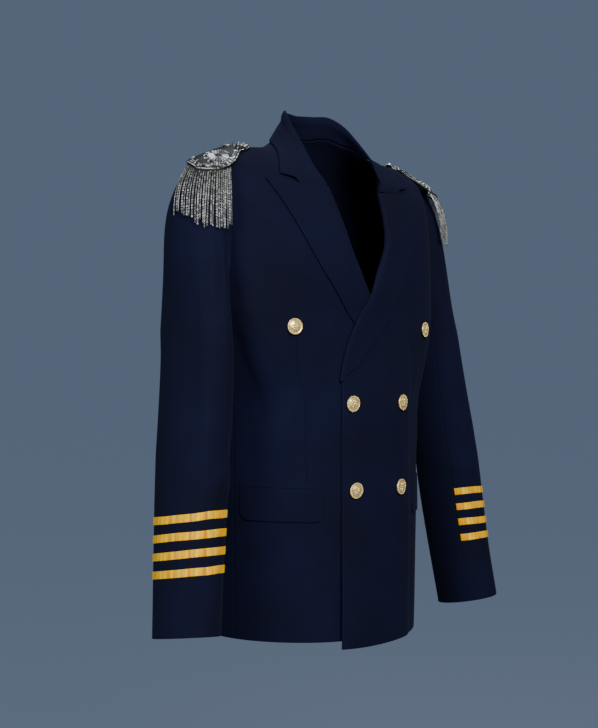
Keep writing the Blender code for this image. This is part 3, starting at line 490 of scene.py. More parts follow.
# Navy worsted wool, woven in a fine twill and pressed. It is dull and very dark, with a faint bloom
# where the eye grazes it, and the dye is a little uneven.
worsted, worsted_shader = new_material("navy_worsted", "#05081E", 0.90)
worsted_shader.inputs["Sheen Weight"].default_value = 0.022
worsted_shader.inputs["Sheen Roughness"].default_value = 0.45
worsted_shader.inputs["Sheen Tint"].default_value = linear("#8E9AD0")
worsted_shader.inputs["Specular IOR Level"].default_value = 0.13
place_on_cloth = add_node(worsted, "ShaderNodeUVMap", {"uv_map": "cloth"}).outputs["UV"]
in_space = add_node(worsted, "ShaderNodeTexCoord").outputs["Object"]
# The twill's ribs are 1.3 mm apart, coarser than the real 0.6 mm, which the picture can't hold. The
# nap's tufts are about 1.1 mm for the same reason, and the clouds of dye are about 110 mm.
TWILL_PITCH = 0.0013
NAP_PER_METRE = 900.0
CLOUDS_PER_METRE = 9.0
twill = add_node(
    worsted,
    "ShaderNodeTexWave",
    {"wave_type": "BANDS", "bands_direction": "DIAGONAL", "wave_profile": "SIN"},
    {"Vector": place_on_cloth},
    Scale=2 * math.pi / (20 * TWILL_PITCH) / math.sqrt(3),
    Distortion=0.6,
    Detail=1.0,
)
nap = add_node(worsted, "ShaderNodeTexNoise", None, {"Vector": in_space}, Scale=NAP_PER_METRE, Detail=2.0)
weave_parts = {0: nap.outputs["Fac"], 2: twill.outputs["Fac"]}
weave = add_node(worsted, "ShaderNodeMath", {"operation": "MULTIPLY_ADD"}, weave_parts)
weave.inputs[1].default_value = 0.8
relief = add_node(
    worsted, "ShaderNodeBump", None, {"Height": weave.outputs[0]}, Strength=0.22, Distance=0.0002
)
worsted.node_tree.links.new(relief.outputs["Normal"], worsted_shader.inputs["Normal"])
vary_colour(
    worsted, worsted_shader, in_space, CLOUDS_PER_METRE, 3.0, low=(0.35, "#04071C"), high=(0.70, "#060A26")
)

# Rows of a panel's mesh below the chest and above it, and a front's columns on each side of its dart
ROWS_LOW = 88
ROWS_UP = 56
BEFORE_DART = 46
BEHIND_DART = 26
# How far in from a free or a sewn edge the cloth is rounded
FREE_EDGE = 0.0010
SEWN_EDGE = 0.00035
# The roll line starts at the front's edge and ends at the gorge, under the collar's end
BREAK_Z = -0.337
GORGE_X, GORGE_Z = 0.0550, -0.0660
# height, distance of the roll line past the middle, for the left front
ROLL = (
    (-0.3370, -0.0655),
    (-0.3060, -0.0570),
    (-0.2540, -0.0290),
    (-0.2146, 0.0000),
    (-0.1820, 0.0175),
    (-0.1600, 0.0280),
    (-0.1200, 0.0410),
    (-0.0790, 0.0520),
    (-0.0640, 0.0550),
)
# The left roll line bows out by this much near one height
ROLL_OUT = 0.0105
ROLL_OUT_Z = -0.138
ROLL_OUT_SIZE = 0.055
# Neck seam, from the middle of the back to the gorge: share, distance from the middle, y
SHOULDER_SHARE = 0.54
NECK = (
    (0.00, 0.000, 0.0440),
    (0.20, 0.030, 0.0370),
    (0.38, 0.052, 0.0180),
    (SHOULDER_SHARE, 0.0690, 0.0000),
    (0.70, 0.0765, -0.0300),
    (0.86, 0.0730, -0.0570),
    (1.00, 0.0565, -0.0740),
)
# The dart's line: height, distance from the middle
DART = ((-0.4690, 0.1099), (-0.4120, 0.1112), (-0.3543, 0.1142), (-0.3087, 0.1279), (-0.2690, 0.1292))
DART_TOP_Z = -0.266
DART_FOOT_Z = -0.474
# How far it takes to fade at its top and at its foot, how far off it the plain columns stay, and the
# height and width of the soft hollow round it
DART_FADE = (0.020, 0.004)
DART_MARGIN = 0.004
DART_HOLLOW = (-0.0006, 0.012)
MEASURING_STEPS = 400
# Columns beside the dart, and its depth there: distance past it, height of the cloth
DART_SECTION = (
    (-0.0050, 0.00005),
    (-0.0028, 0.00015),
    (-0.0014, 0.00015),
    (-0.0006, -0.00025),
    (0.0, -0.00085),
    (0.0006, -0.00025),
    (0.0014, 0.00030),
    (0.0028, 0.00025),
    (0.0050, 0.00005),
)


def outer_line(seam_at, end):
    """A panel's outer edge: the side seam, then the armhole up to the shoulder."""
    seam_theta, seam_level = armhole(np.array(float(seam_at)))
    low = np.linspace(0, 1, ROWS_LOW)
    seam = np.stack([np.full(ROWS_LOW, seam_theta), low * seam_level], -1)
    hole = armhole(np.linspace(seam_at, end, ROWS_UP + 1)[1:])
    hole[-1] = (90, 2)
    return np.concatenate([seam, hole])


def roll_at(height, on_left):
    out = ROLL_OUT * np.exp(-(((height - ROLL_OUT_Z) / ROLL_OUT_SIZE) ** 2))
    return read(ROLL, height)[0] + (out if on_left else 0)


def front_inner_line(on_left):
    """A front's inner edge: front edge, roll line, then the neck seam up to the shoulder."""
    low_z = HEM_FRONT_Z + np.linspace(0, 1, ROWS_LOW) * (CHEST_Z - HEM_FRONT_Z)
    low_z[np.argmin(np.abs(low_z - BREAK_Z))] = BREAK_Z
    low = from_front(np.where(low_z <= BREAK_Z, -OVERLAP_X, roll_at(low_z, on_left)), low_z)
    low[0, 1] = 0
    roll_rows = ROWS_UP // 2
    roll_z = np.linspace(CHEST_Z, GORGE_Z, roll_rows + 1)[1:]
    roll = from_front(roll_at(roll_z, on_left), roll_z)
    neck_x, neck_y = read(NECK, np.linspace(1.0, SHOULDER_SHARE, ROWS_UP - roll_rows + 1)[1:])
    neck = from_above(neck_x, np.minimum(neck_y, -1e-4))
    neck[-1, 1] = 2
    return np.concatenate([low, roll, neck])


def hang(place, drop):
    """The places of a panel whose hem is lower by drop at the front, and not at the back's middle."""
    share = drop / (CHEST_Z - HEM_SIDE_Z) * (0.5 + 0.5 * np.cos(np.radians(place[..., 0])))
    lower = place.copy()
    lower[..., 1] -= share * np.clip(1 - place[..., 1], 0, 1)
    return lower


def front_places(inner, outer):
    """Places of a front's grid, with columns gathered at the dart, and its height at each of them."""
    steps = np.linspace(0, 1, MEASURING_STEPS)[None, :, None]
    row = body(*np.moveaxis(inner[:, None] * (1 - steps) + outer[:, None] * steps, -1, 0))
    arc = np.cumsum(np.linalg.norm(np.diff(row, axis=1, prepend=row[:, :1]), axis=-1), 1)
    places, heights = [], []
    for k in range(len(row)):
        z = np.clip(row[k, :, 2], DART_FOOT_Z, DART_TOP_Z)
        near = np.argmin(np.abs(row[k, :, 0] - read(DART, z)[0]) + 10 * (row[k, :, 1] > 0))
        dart = arc[k, near]
        ends = dart + DART_SECTION[0][0] - DART_MARGIN, dart + DART_SECTION[-1][0] + DART_MARGIN
        marks = [dart + distance for distance, _ in DART_SECTION]
        before = np.linspace(0, ends[0], BEFORE_DART)
        marks = np.r_[before, marks, np.linspace(ends[1], arc[k, -1], BEHIND_DART)]
        share = np.interp(marks, arc[k], steps[0, :, 0])[:, None]
        places.append(inner[k] * (1 - share) + outer[k] * share)
        height = row[k, near, 2]
        fade = ease(height, DART_FOOT_Z - DART_FADE[1], DART_FOOT_Z + DART_FADE[1])
        fade = fade * (1 - ease(height, DART_TOP_Z - DART_FADE[0], DART_TOP_Z))
        section = [depth for _, depth in DART_SECTION]
        soft = DART_HOLLOW[0] * np.exp(-(((marks - dart) / DART_HOLLOW[1]) ** 2))
        heights.append((np.r_[np.zeros(BEFORE_DART), section, np.zeros(BEHIND_DART)] + soft) * fade)
    return np.array(places), np.array(heights)


for side, drop in HEM_DROP.items():
    place, dart_height = front_places(front_inner_line(side == "left"), outer_line(SIDE_SEAM_AT, 0))
    points, normal = cloth_on_body(hang(place, drop), side, dart_height)
    sew(
        f"front_{side}_cloth",
        points,
        normal,
        worsted,
        f"front_{side}",
        edges=(FREE_EDGE, SEWN_EDGE, FREE_EDGE, SEWN_EDGE),
        right=side == "right",
    )

# Side panels
# One narrow panel of the same worsted on each side, sewn between the front and the back, from the hem
# up to the armhole.
SIDE_COLUMNS = 26
for side, drop in HEM_DROP.items():
    top = armhole(np.linspace(SIDE_SEAM_AT, BACK_SEAM_AT, SIDE_COLUMNS))
    low = np.linspace(0, 1, ROWS_LOW)
    place = np.stack([np.broadcast_to(top[:, 0], (ROWS_LOW, SIDE_COLUMNS)), low[:, None] * top[:, 1]], -1)
    points, normal = cloth_on_body(hang(place, drop), side)
    sew(
        f"side_{side}_cloth",
        points,
        normal,
        worsted,
        f"side_{side}",
        edges=(FREE_EDGE, SEWN_EDGE, SEWN_EDGE, SEWN_EDGE),
        right=side == "right",
    )

# Backs
# Two panels of the same worsted, joined down the middle of the back with no vent, and sewn to the
# fronts at the shoulders.
BACK_COLUMNS = 60
outer = outer_line(BACK_SEAM_AT, 360)
neck_rows = ROWS_UP // 2
neck_x, neck_y = read(NECK, np.linspace(0, SHOULDER_SHARE, neck_rows + 1))
neck = from_above(np.maximum(neck_x, 1e-4), np.maximum(neck_y, 1e-4))
neck[-1, 1] = 2
middle = np.linspace(outer[ROWS_LOW - 1, 1], neck[0, 1], ROWS_UP - neck_rows + 1)[1:]
levels = np.concatenate([np.linspace(0, 1, ROWS_LOW) * outer[ROWS_LOW - 1, 1], middle])
inner = np.concatenate([np.stack([np.full(len(levels), 180.0), levels], -1), neck[1:]])
across = np.linspace(0, 1, BACK_COLUMNS)[None, :, None]
for side, drop in HEM_DROP.items():
    place = hang(outer[:, None] * (1 - across) + inner[:, None] * across, drop)
    points, normal = cloth_on_body(place, side)
    sew(
        f"back_{side}_cloth",
        points,
        normal,
        worsted,
        f"back_{side}",
        edges=(FREE_EDGE, SEWN_EDGE, SEWN_EDGE, SEWN_EDGE),
        right=side == "right",
    )

# Sleeves
# Each sleeve is a wide top piece and a narrow one under it, of the same worsted, set into the armhole
# with a full head. It breaks softly at the elbow, where an arm has bent it.
HEAD_END_Z = -0.260
CUFF_Z = {"left": -0.672, "right": -0.659}
FRONT_ARM_SEAM = 142
BACK_ARM_SEAM = 235
# How far the sewn edge is turned in at the armhole, and the first rows of the mesh, that turn it
SLEEVE_TUCK = 0.0028
TUCK_RUNS = [0, 0.008, 0.016, 0.025]
# height, distance from the middle, how far forward, half its size from front to back, half its size
# sideways, rise of its plane outward, rise of its plane forward
SLEEVE = (
    (-0.235, 0.2345, 0.012, 0.0585, 0.0340, 0.00, 0.00),
    (-0.260, 0.2365, 0.014, 0.0590, 0.0358, 0.00, 0.01),
    (-0.300, 0.2390, 0.019, 0.0575, 0.0385, 0.00, 0.03),
    (-0.370, 0.2470, 0.026, 0.0555, 0.0410, 0.00, 0.08),
    (-0.430, 0.2560, 0.032, 0.0535, 0.0430, 0.00, 0.12),
    (-0.550, 0.2715, 0.041, 0.0500, 0.0425, 0.00, 0.15),
    (-0.670, 0.2870, 0.053, 0.0480, 0.0405, 0.09, 0.14),
)
# degrees round it, run, size round it, size along it, height
SLEEVE_FOLDS = (
    (76, 0.78, 16.0, 0.230, -0.0030),
    (60, 1.28, 13.0, 0.330, 0.0022),
    (28, 1.33, 13.0, 0.300, -0.0016),
    (100, 1.42, 30.0, 0.045, -0.0026),
    (112, 1.51, 26.0, 0.040, 0.0020),
    (95, 1.60, 30.0, 0.050, -0.0022),
    (250, 1.45, 25.0, 0.060, -0.0030),
    (275, 1.54, 22.0, 0.050, 0.0020),
    (62, 1.84, 17.0, 0.130, -0.0015),
)
# The left sleeve hangs flatter outside, and the right one's head is fuller behind; same columns
SLEEVE_SHAPE = {
    "left": ((45, 0.66, 60.0, 0.33, -0.0062), (45, 1.20, 60.0, 0.38, -0.0048)),
    "right": ((318, 0.45, 42.0, 0.21, 0.0072), (318, 1.38, 50.0, 0.30, 0.0016)),
}
# side, degrees round it, run, lean, width in degrees, length in runs, height
SLEEVE_CREASES = (
    ("both", 84, 0.66, 40, 7, 0.22, -0.0014),
    ("both", 60, 0.60, 35, 8, 0.24, 0.0010),
    ("right", 44, 1.02, 22, 7, 0.34, 0.0009),
    ("left", 38, 1.06, 18, 7, 0.30, 0.0008),
    ("right", 30, 1.62, -14, 6, 0.24, 0.0008),
    ("right", 8, 1.30, 10, 8, 0.36, -0.0008),
    ("left", 20, 1.55, -10, 7, 0.26, -0.0008),
    ("both", 112, 1.36, 220, 14, 0.10, -0.0016),
    ("both", 118, 1.47, 170, 13, 0.09, 0.0012),
    ("both", 104, 1.56, -200, 15, 0.09, -0.0014),
    ("right", 84, 1.46, 260, 12, 0.06, 0.0009),
    ("left", 88, 1.50, -240, 12, 0.06, 0.0009),
    ("both", 262, 1.38, 190, 14, 0.10, -0.0016),
    ("both", 284, 1.50, -170, 14, 0.09, 0.0013),
    ("both", -96, 0.62, -45, 8, 0.26, -0.0018),
    ("right", -66, 0.55, -30, 8, 0.24, 0.0012),
    ("left", -60, 0.60, -34, 8, 0.22, -0.0011),
    ("both", -40, 1.20, -16, 9, 0.38, 0.0010),
)


def sleeve_ring(psi, height):
    """Left sleeve below the armpit. psi is in degrees from the outside, to the front first."""
    x, ahead, deep, half, out_rise, front_rise = read(SLEEVE, height)
    out = half * np.cos(np.radians(psi))
    front = deep * np.sin(np.radians(psi))
    z = height + out_rise * out + front_rise * front
    return np.stack([x + out, -ahead - front, z], -1)


def sleeve(psi, run, side):
    """Outer face of a sleeve: run is 0 at the armhole, 1 below the armpit and 2 at the cuff. The right
    one comes out on the left too, and is mirrored when its mesh is made."""
    psi, run = np.broadcast_arrays(np.asarray(psi, float), np.asarray(run, float))
    height = HEAD_END_Z + (CUFF_Z[side] - HEAD_END_Z) * np.clip(run - 1, 0, 1)
    low = sleeve_ring(psi, height)
    place = armhole(psi)
    start = body(place[..., 0], place[..., 1])
    top = 0.5 + 0.5 * np.cos(np.radians(psi))
    front = np.sin(np.radians(psi))
    # The head leaves the armhole outward at the top, and forward or back and down lower round it.
    start = start + np.stack([0.0006 + 0.0006 * (1 - top), 0 * top, 0 * top], -1)
    lead = unit(np.stack([0.35 + 0.65 * top, -0.42 * front, -0.75 * (1 - top) - 0.04], -1))
    lead = lead * (0.030 + 0.140 * top[..., None] ** 1.2)
    end = sleeve_ring(psi, np.full(psi.shape, HEAD_END_Z))
    down = unit(end - sleeve_ring(psi, np.full(psi.shape, HEAD_END_Z + 0.02)))
    down = down * (0.025 + 0.215 * top[..., None])
    fold = folds((*SLEEVE_FOLDS, *SLEEVE_SHAPE[side]), psi, run)
    fold = fold + creases(SLEEVE_CREASES, side, psi, run)
    fold = fold * ease(run, 0, 0.2)
    fold = np.stack([fold * np.cos(np.radians(psi)), -fold * front, 0 * fold], -1)
    # The sewn edge is turned in behind the armhole's edge.
    turned = unit(np.stack([-0.35 - 0.65 * top, -0.9 * front, -0.6 * (1 - top)], -1)) * SLEEVE_TUCK
    turned = turned - body_normal(place[..., 0], place[..., 1]) * (CLOTH + 0.0003)
    fold = fold + turned * (1 - ease(run, 0, TUCK_RUNS[-1]))[..., None]
    f = np.clip(run, 0, 1)[..., None]
    head = start * (1 + 2 * f) * (1 - f) ** 2 + lead * f * (1 - f) ** 2
    head = head + end * f**2 * (3 - 2 * f) + down * f**2 * (f - 1)
    return np.where(run[..., None] > 1, low, head) + fold


def sleeve_normal(psi, run, side):
    run = np.clip(np.asarray(run, float), 0.012, 1.995)
    round_ = sleeve(psi + 0.5, run, side) - sleeve(psi - 0.5, run, side)
    along = sleeve(psi, run + 0.005, side) - sleeve(psi, run - 0.005, side)
    return unit(np.cross(round_, along))


SLEEVE_RUNS = np.r_[TUCK_RUNS, np.linspace(TUCK_RUNS[-1], 1, 54)[1:], 1 + np.linspace(0, 1, 76)[1:]]
for side in ("left", "right"):
    for name, ends, columns, cut_to in (
        ("sleeve_top", (BACK_ARM_SEAM - 360, FRONT_ARM_SEAM), 96, (0.265, 0.645, 0.130, "hung")),
        ("sleeve_under", (FRONT_ARM_SEAM, BACK_ARM_SEAM), 36, (0.105, 0.490, 0.0375, "hung")),
    ):
        psi, run = np.meshgrid(np.linspace(*ends, columns), SLEEVE_RUNS)
        sew(
            f"{name}_{side}_cloth",
            sleeve(psi, run, side),
            sleeve_normal(psi, run, side),
            worsted,
            f"{name}_{side}",
            edges=(SEWN_EDGE, FREE_EDGE, SEWN_EDGE, SEWN_EDGE),
            right=side == "right",
        )

# Sleeve stripes
# Four gold satin ribbons, 10 mm wide, sewn flat round each sleeve from seam to seam, with their ends
# caught in the seams. They pucker slightly between their sewn edges.

# Gold-coloured satin ribbon, woven of smooth threads and dyed. Its colour is deep and warm. Soft bands
# of painted sheen run along it, and a faint glow below is a painted gleam.
ribbon, ribbon_shader = new_material("gold_ribbon", "#D08A00", 0.50)
ribbon_shader.inputs["Specular IOR Level"].default_value = 0.12
# Painted gleam: the ribbon glows faintly in its own warm colour.
ribbon_shader.inputs["Emission Color"].default_value = linear("#FFC400")
ribbon_shader.inputs["Emission Strength"].default_value = 0.08
ribbon_place = add_node(ribbon, "ShaderNodeUVMap", {"uv_map": "cloth"}).outputs["UV"]
# The ribs run across the ribbon, 1.1 mm apart, coarser than the real threads. The bands of painted
# sheen are about 5 mm wide and eight times as long.
RIB_PITCH = 0.0011
SHEEN_BANDS_PER_METRE = 210.0
ribs = add_node(
    ribbon,
    "ShaderNodeTexWave",
    {"wave_type": "BANDS", "bands_direction": "X", "wave_profile": "SIN"},
    {"Vector": ribbon_place},
    Scale=2 * math.pi / (20 * RIB_PITCH),
    Distortion=0.8,
    Detail=1.0,
)
ribbon_relief = add_node(
    ribbon, "ShaderNodeBump", None, {"Height": ribs.outputs["Fac"]}, Strength=0.35, Distance=0.0002
)
ribbon.node_tree.links.new(ribbon_relief.outputs["Normal"], ribbon_shader.inputs["Normal"])
stretched = add_node(ribbon, "ShaderNodeMapping", None, {"Vector": ribbon_place})
stretched.inputs["Scale"].default_value = (1.0, 0.12, 1.0)
# Painted sheen: the base colour wanders between darker and lighter gold in long bands.
vary_colour(
    ribbon,
    ribbon_shader,
    stretched.outputs["Vector"],
    SHEEN_BANDS_PER_METRE,
    4.0,
    low=(0.36, "#B87200"),
    high=(0.64, "#E8C000"),
)

STRIPE_Z = (-0.5082, -0.5312, -0.5542, -0.5772)
STRIPE_DEEP = 0.010
RIBBON_THICK = 0.0009
RIBBON_EDGE = 0.0004
RIBBON_REST = 0.00015
RIBBON_STOP = 2.2  # degrees by which its ends stop short of the sleeve's seams
RIBBON_SINK = 0.0007  # how deep its back end goes into the seam, over so many degrees
RIBBON_SINK_DEGREES = 14
# How far above and below a piece's own place the cloth under it is looked for
LOOK_FROM = 0.012
LOOK_UNDER = 0.006
TREES = {}


def facets_of(name):
    """The triangles of a finished piece, for the pieces that lie on it."""
    if name not in TREES:
        mesh = bpy.data.objects[name].data
        mesh.calc_loop_triangles()
        corners = [tuple(triangle.vertices) for triangle in mesh.loop_triangles]
        TREES[name] = BVHTree.FromPolygons([vertex.co.copy() for vertex in mesh.vertices], corners)
    return TREES[name]


def lift_needed(points, directions, names, gap, right=False, least=0.0):
    """How far each point must move along its direction to stand gap over the named pieces."""
    turned = (-1, 1, 1) if right else (1, 1, 1)
    lift = np.full(points.shape[:-1], least)
    for at in np.ndindex(lift.shape):
        direction = Vector(directions[at] * turned)
        start = Vector(points[at] * turned) + direction * LOOK_FROM
        for name in names:
            hit, _, _, distance = facets_of(name).ray_cast(start, -direction, LOOK_FROM + LOOK_UNDER)
            if hit is not None:
                lift[at] = max(lift[at], gap + LOOK_FROM - distance)
    return lift


def softened(lift, rounds):
    """The least smooth height that is nowhere under lift."""
    smooth = lift.copy()
    for _ in range(rounds):
        wide = np.pad(smooth, 1, mode="edge")
        near = (wide[:-2, 1:-1] + wide[2:, 1:-1] + wide[1:-1, :-2] + wide[1:-1, 2:]) / 4
        smooth = np.maximum(lift, near)
    return smooth


rng = np.random.default_rng(7)
for side in ("left", "right"):
    for number, height in enumerate(STRIPE_Z, 1):
        psi_line = np.linspace(BACK_ARM_SEAM - 360 + RIBBON_STOP, FRONT_ARM_SEAM - RIBBON_STOP, 130)
        deep = np.linspace(-0.5, 0.5, 7)
        wander = np.interp(psi_line, np.linspace(-130, 150, 12), rng.normal(0, 0.00025, 12))
        heights = height + deep[::-1, None] * STRIPE_DEEP + wander
        run_line = 1 + (heights - HEAD_END_Z) / (CUFF_Z[side] - HEAD_END_Z)
        psi = np.broadcast_to(psi_line, run_line.shape)
        base, normal = sleeve(psi, run_line, side), sleeve_normal(psi, run_line, side)
        under = [f"sleeve_top_{side}_cloth"]
        lift = lift_needed(base, normal, under, RIBBON_REST, side == "right", -LOOK_UNDER)
        pucker = np.interp(psi_line, np.linspace(-130, 150, 90), rng.normal(0, 0.00010, 90))
        lift = lift + np.abs(pucker) * (1 - (2 * deep[:, None]) ** 2)
        lift = lift - RIBBON_SINK * (1 - ease(psi_line, psi_line[0], psi_line[0] + RIBBON_SINK_DEGREES))
        sew(
            f"stripe_{side}_{number}_ribbon",
            base + normal * (lift + RIBBON_THICK)[..., None],
            normal,
            ribbon,
            f"stripe_{side}_{number}",
            edges=[RIBBON_EDGE] * 4,
            thick=RIBBON_THICK,
            right=side == "right",
        )

# Lapels
# Two broad peaked lapels, the fronts' own cloth turned back along a soft roll, with a notch under
# each peak. The lowest two fifths of the right one lie hidden under the left front and are left out.
PEAK_X, PEAK_Z = 0.1560, -0.0600
# share of the lapel's length from its foot, distance of its outer edge past the middle, height
LAPEL_EDGE = (
    (0.00, -0.0615, -0.3330),
    (0.20, -0.0180, -0.2950),
    (0.40, 0.0300, -0.2540),
    (0.58, 0.0600, -0.2140),
    (0.73, 0.0900, -0.1735),
    (0.88, 0.1240, -0.1160),
    (1.00, PEAK_X, PEAK_Z),
)
NOTCH_X, NOTCH_Z = 0.1050, -0.0635
LAPEL_REST = 0.0005
# height of the lapel's middle where it lies flat, and at its foot, where it comes out of the front
LAPEL_FLAT = 0.0018
LAPEL_FOOT = 0.0006
# The collar's end meets the lapel this far behind its inner face, and this far below its upper edge
GORGE_SINK = 0.0003
GORGE_LAP = 0.0008
# step along the section, share across the lapel, distance past the roll line, height of its middle
# over the front
LAPEL_SECTION = (
    (0.0, 0.00, -0.0020, -0.0016),
    (0.5, 0.00, -0.0036, 0.0002),
    (1.2, 0.00, -0.0034, 0.0030),
    (2.0, 0.00, -0.0008, 0.0048),
    (3.0, 0.07, 0.0000, 0.0052),
    (5.0, 0.22, 0.0000, 0.0044),
    (8.0, 0.45, 0.0000, 0.0032),
    (11.5, 0.72, 0.0000, 0.0024),
    (15.0, 1.00, 0.0000, 0.0020),
)


def lapel_place(share, across, on_left):
    """x and z of the lapel's point: share along the roll line, across to the outer edge."""
    roll_z = BREAK_Z + 0.004 + (GORGE_Z - BREAK_Z - 0.004) * share
    roll_x = roll_at(roll_z, on_left)
    edge_x, edge_z = read(LAPEL_EDGE, share)
    across_here = across * ease(share, -0.02, 0.10)
    flat_x = roll_x + (edge_x - roll_x) * across_here
    flat_z = roll_z + (edge_z - roll_z) * across_here
    bend = (NOTCH_X - GORGE_X) / (PEAK_X - GORGE_X)
    notch = NOTCH_Z - (GORGE_Z + (PEAK_Z - GORGE_Z) * bend)
    lift = np.where(across < bend, across / bend, (1 - across) / (1 - bend)) * notch
    return flat_x, flat_z + lift * share**4


def grid_normal(grid):
    return unit(np.cross(np.gradient(grid, axis=1), np.gradient(grid, axis=0)))


def laid(inner, away, names, gap, right, rounds=8):
    """The inner face of a piece, moved out smoothly to stand at least gap over the named pieces."""
    lift = np.maximum(lift_needed(inner, away, names, gap, right), 0)
    return inner + away * softened(lift, rounds)[..., None]


# The line on each lapel that the collar's end is sewn to
gorge = {}
for side, shares in (("left", np.linspace(0.0, 1, 104)), ("right", np.linspace(0.385, 1, 72))):
    steps = np.r_[np.linspace(0, 3, 12), np.linspace(3, 15, 30)[1:]]
    rows = []
    for across, shift, height in zip(*read(LAPEL_SECTION, steps)):
        x, z = lapel_place(shares, np.clip(across, 0, 1), side == "left")
        # The roll stands fuller from the lapel's middle up.
        crest = LAPEL_FLAT + (height - LAPEL_FLAT) * (0.35 + 0.65 * ease(shares, 0.42, 0.66))
        crest = LAPEL_FOOT + (crest - LAPEL_FOOT) * ease(shares, 0.0, 0.12)
        height = np.where(height > LAPEL_FLAT, crest, height)
        place = from_front(x + shift, z)
        height = height + (over(x, z) if side == "left" else 0 * x)
        base, normal = body(*np.moveaxis(place, -1, 0)), body_normal(*np.moveaxis(place, -1, 0))
        rows.append(base + normal * height[:, None])
    grid = np.stack(rows, 1)
    normal = grid_normal(grid)
    lying = steps >= 2.0
    inner = grid - normal * CLOTH / 2
    under = [f"front_{side}_cloth"]
    inner[:, lying] = laid(inner[:, lying], normal[:, lying], under, LAPEL_REST, side == "right")
    gorge[side] = inner[-1, lying] - normal[-1, lying] * GORGE_SINK - (0, 0, GORGE_LAP)
    sew(
        f"lapel_{side}_cloth",
        inner + normal * CLOTH,
        normal,
        worsted,
        f"lapel_{side}",
        edges=(FREE_EDGE, FREE_EDGE, SEWN_EDGE, FREE_EDGE),
        right=side == "right",
    )

# Collar
# One folded collar of the same worsted: a stand round the neck, a rolled crest, and a fall that lies
# on the shoulders. Its ends are sewn to the lapels' upper edges as far as the notch.
COLLAR_LEFT_OUT = (0.0045, -0.0025, 0.0)
COLLAR_REST = 0.0012
STAND_REST = 0.0019
COLLAR_ROWS = 64
COLLAR_COLUMNS = 49
FALL_COLUMN = 18  # the first column that lies on the jacket
# How far each row from the collar's end is drawn to the seam, and where the seam ends at the notch
GORGE_PULLS = (1.0, 0.7, 0.4, 0.15)
GORGE_END_X = (NOTCH_X - 0.006, NOTCH_X + 0.002)
# Top of the collar's stand, where it folds over: share, x, y, z
CREST = (
    (0.00, 0.0000, 0.0340, 0.050),
    (0.20, 0.0260, 0.0280, 0.051),
    (0.38, 0.0440, 0.0110, 0.049),
    (0.54, 0.0580, -0.0115, 0.030),
    (0.70, 0.0625, -0.0440, -0.009),
    (0.86, 0.0605, -0.0640, -0.040),
    (1.00, 0.0560, -0.0815, -0.0630),
)
# Outer edge of the collar, which lies on the body: share, distance from the middle, y
FALL = (
    (0.00, 0.000, 0.0560),
    (0.20, 0.036, 0.0480),
    (0.38, 0.065, 0.0220),
    (0.54, 0.085, -0.0010),
    (0.70, 0.099, -0.0220),
    (0.86, 0.113, -0.0420),
    (1.00, 0.130, -0.0620),
)
share = np.linspace(0, 1, COLLAR_ROWS)
neck_x, neck_y = read(NECK, share)
fall_x, fall_y = read(FALL, share)
crest = np.stack(read(CREST, share), -1)
neck_place, fall_place = from_above(neck_x, neck_y), from_above(fall_x, fall_y)
neck = body(*neck_place.T) + body_normal(*neck_place.T) * STAND_REST
edge = body(*fall_place.T) + body_normal(*fall_place.T) * (COLLAR_REST + CLOTH / 2)
halves = []
for on_left in (False, True):
    top = crest + np.array(COLLAR_LEFT_OUT) * ease(share, 0.55, 0.78)[:, None] * on_left
    outward = unit((edge - top) * (1, 1, 0.0))
    lines = [neck + (top - neck) * s for s in (0.0, 0.45, 0.86)]
    lines.append(top + np.array([0, 0, 0.0016]) + outward * 0.0016)
    lines.append(top + (edge - top) * 0.12 + outward * 0.0030)
    lines += [top + (edge - top) * s for s in (0.28, 0.50, 0.75, 1.0)]
    lines = np.stack(lines)
    at = np.cumsum(np.linalg.norm(np.diff(lines, axis=0, prepend=lines[:1]), axis=-1).mean(-1))
    steps = np.interp(np.linspace(0, len(at) - 1, COLLAR_COLUMNS), np.arange(len(at)), at)
    smooth = read(np.column_stack([at, lines.reshape(len(at), -1)]).tolist(), steps)
    halves.append(np.moveaxis(smooth.reshape(COLLAR_ROWS, 3, COLLAR_COLUMNS), (0, 1, 2), (0, 2, 1)))
full = np.concatenate([halves[0][:0:-1] * (-1, 1, 1), halves[1]])
normal = -grid_normal(full)
place = from_above(full[:, FALL_COLUMN:, 0], full[:, FALL_COLUMN:, 1])
away = body_normal(place[..., 0], place[..., 1])
under = ["front_left_cloth", "front_right_cloth", "back_left_cloth", "back_right_cloth"]
inner = full - normal * CLOTH / 2
inner[:, FALL_COLUMN:] = laid(inner[:, FALL_COLUMN:], away, under, COLLAR_REST, False, 20)
for side, seam in gorge.items():
    for count, pull in enumerate(GORGE_PULLS):
        lying = inner[count if side == "right" else -1 - count, FALL_COLUMN:]
        wide = np.abs(lying[:, 0])
        sewn = np.stack([np.interp(wide, seam[:, 0], seam[:, axis]) for axis in (1, 2)], -1)
        lying[:, 1:] += (sewn - lying[:, 1:]) * (pull * (1 - ease(wide, *GORGE_END_X)))[:, None]
sew(
    "collar_cloth",
    inner + normal * CLOTH,
    normal,
    worsted,
    "collar",
    edges=(FREE_EDGE, FREE_EDGE, SEWN_EDGE, FREE_EDGE),
)

# Pockets
# A jetted pocket on each front under a flap with rounded corners, both of the same worsted. The
# jetting is a narrow folded strip along the pocket's mouth.
FLAP_FROM, FLAP_TO = 31.5, 78.0
FLAP_FRONT_Z, FLAP_BACK_Z = -0.4775, -0.4735
FLAP_DEEP = 0.045
FLAP_CORNER = 0.012
FLAP_THICK = 0.0013
WELT_DEEP = 0.006
WELT_THICK = 0.0012
# The ends are pressed into the cloth under them by this much, over this length
END_PRESS = 0.0009
END_LONG = 0.010
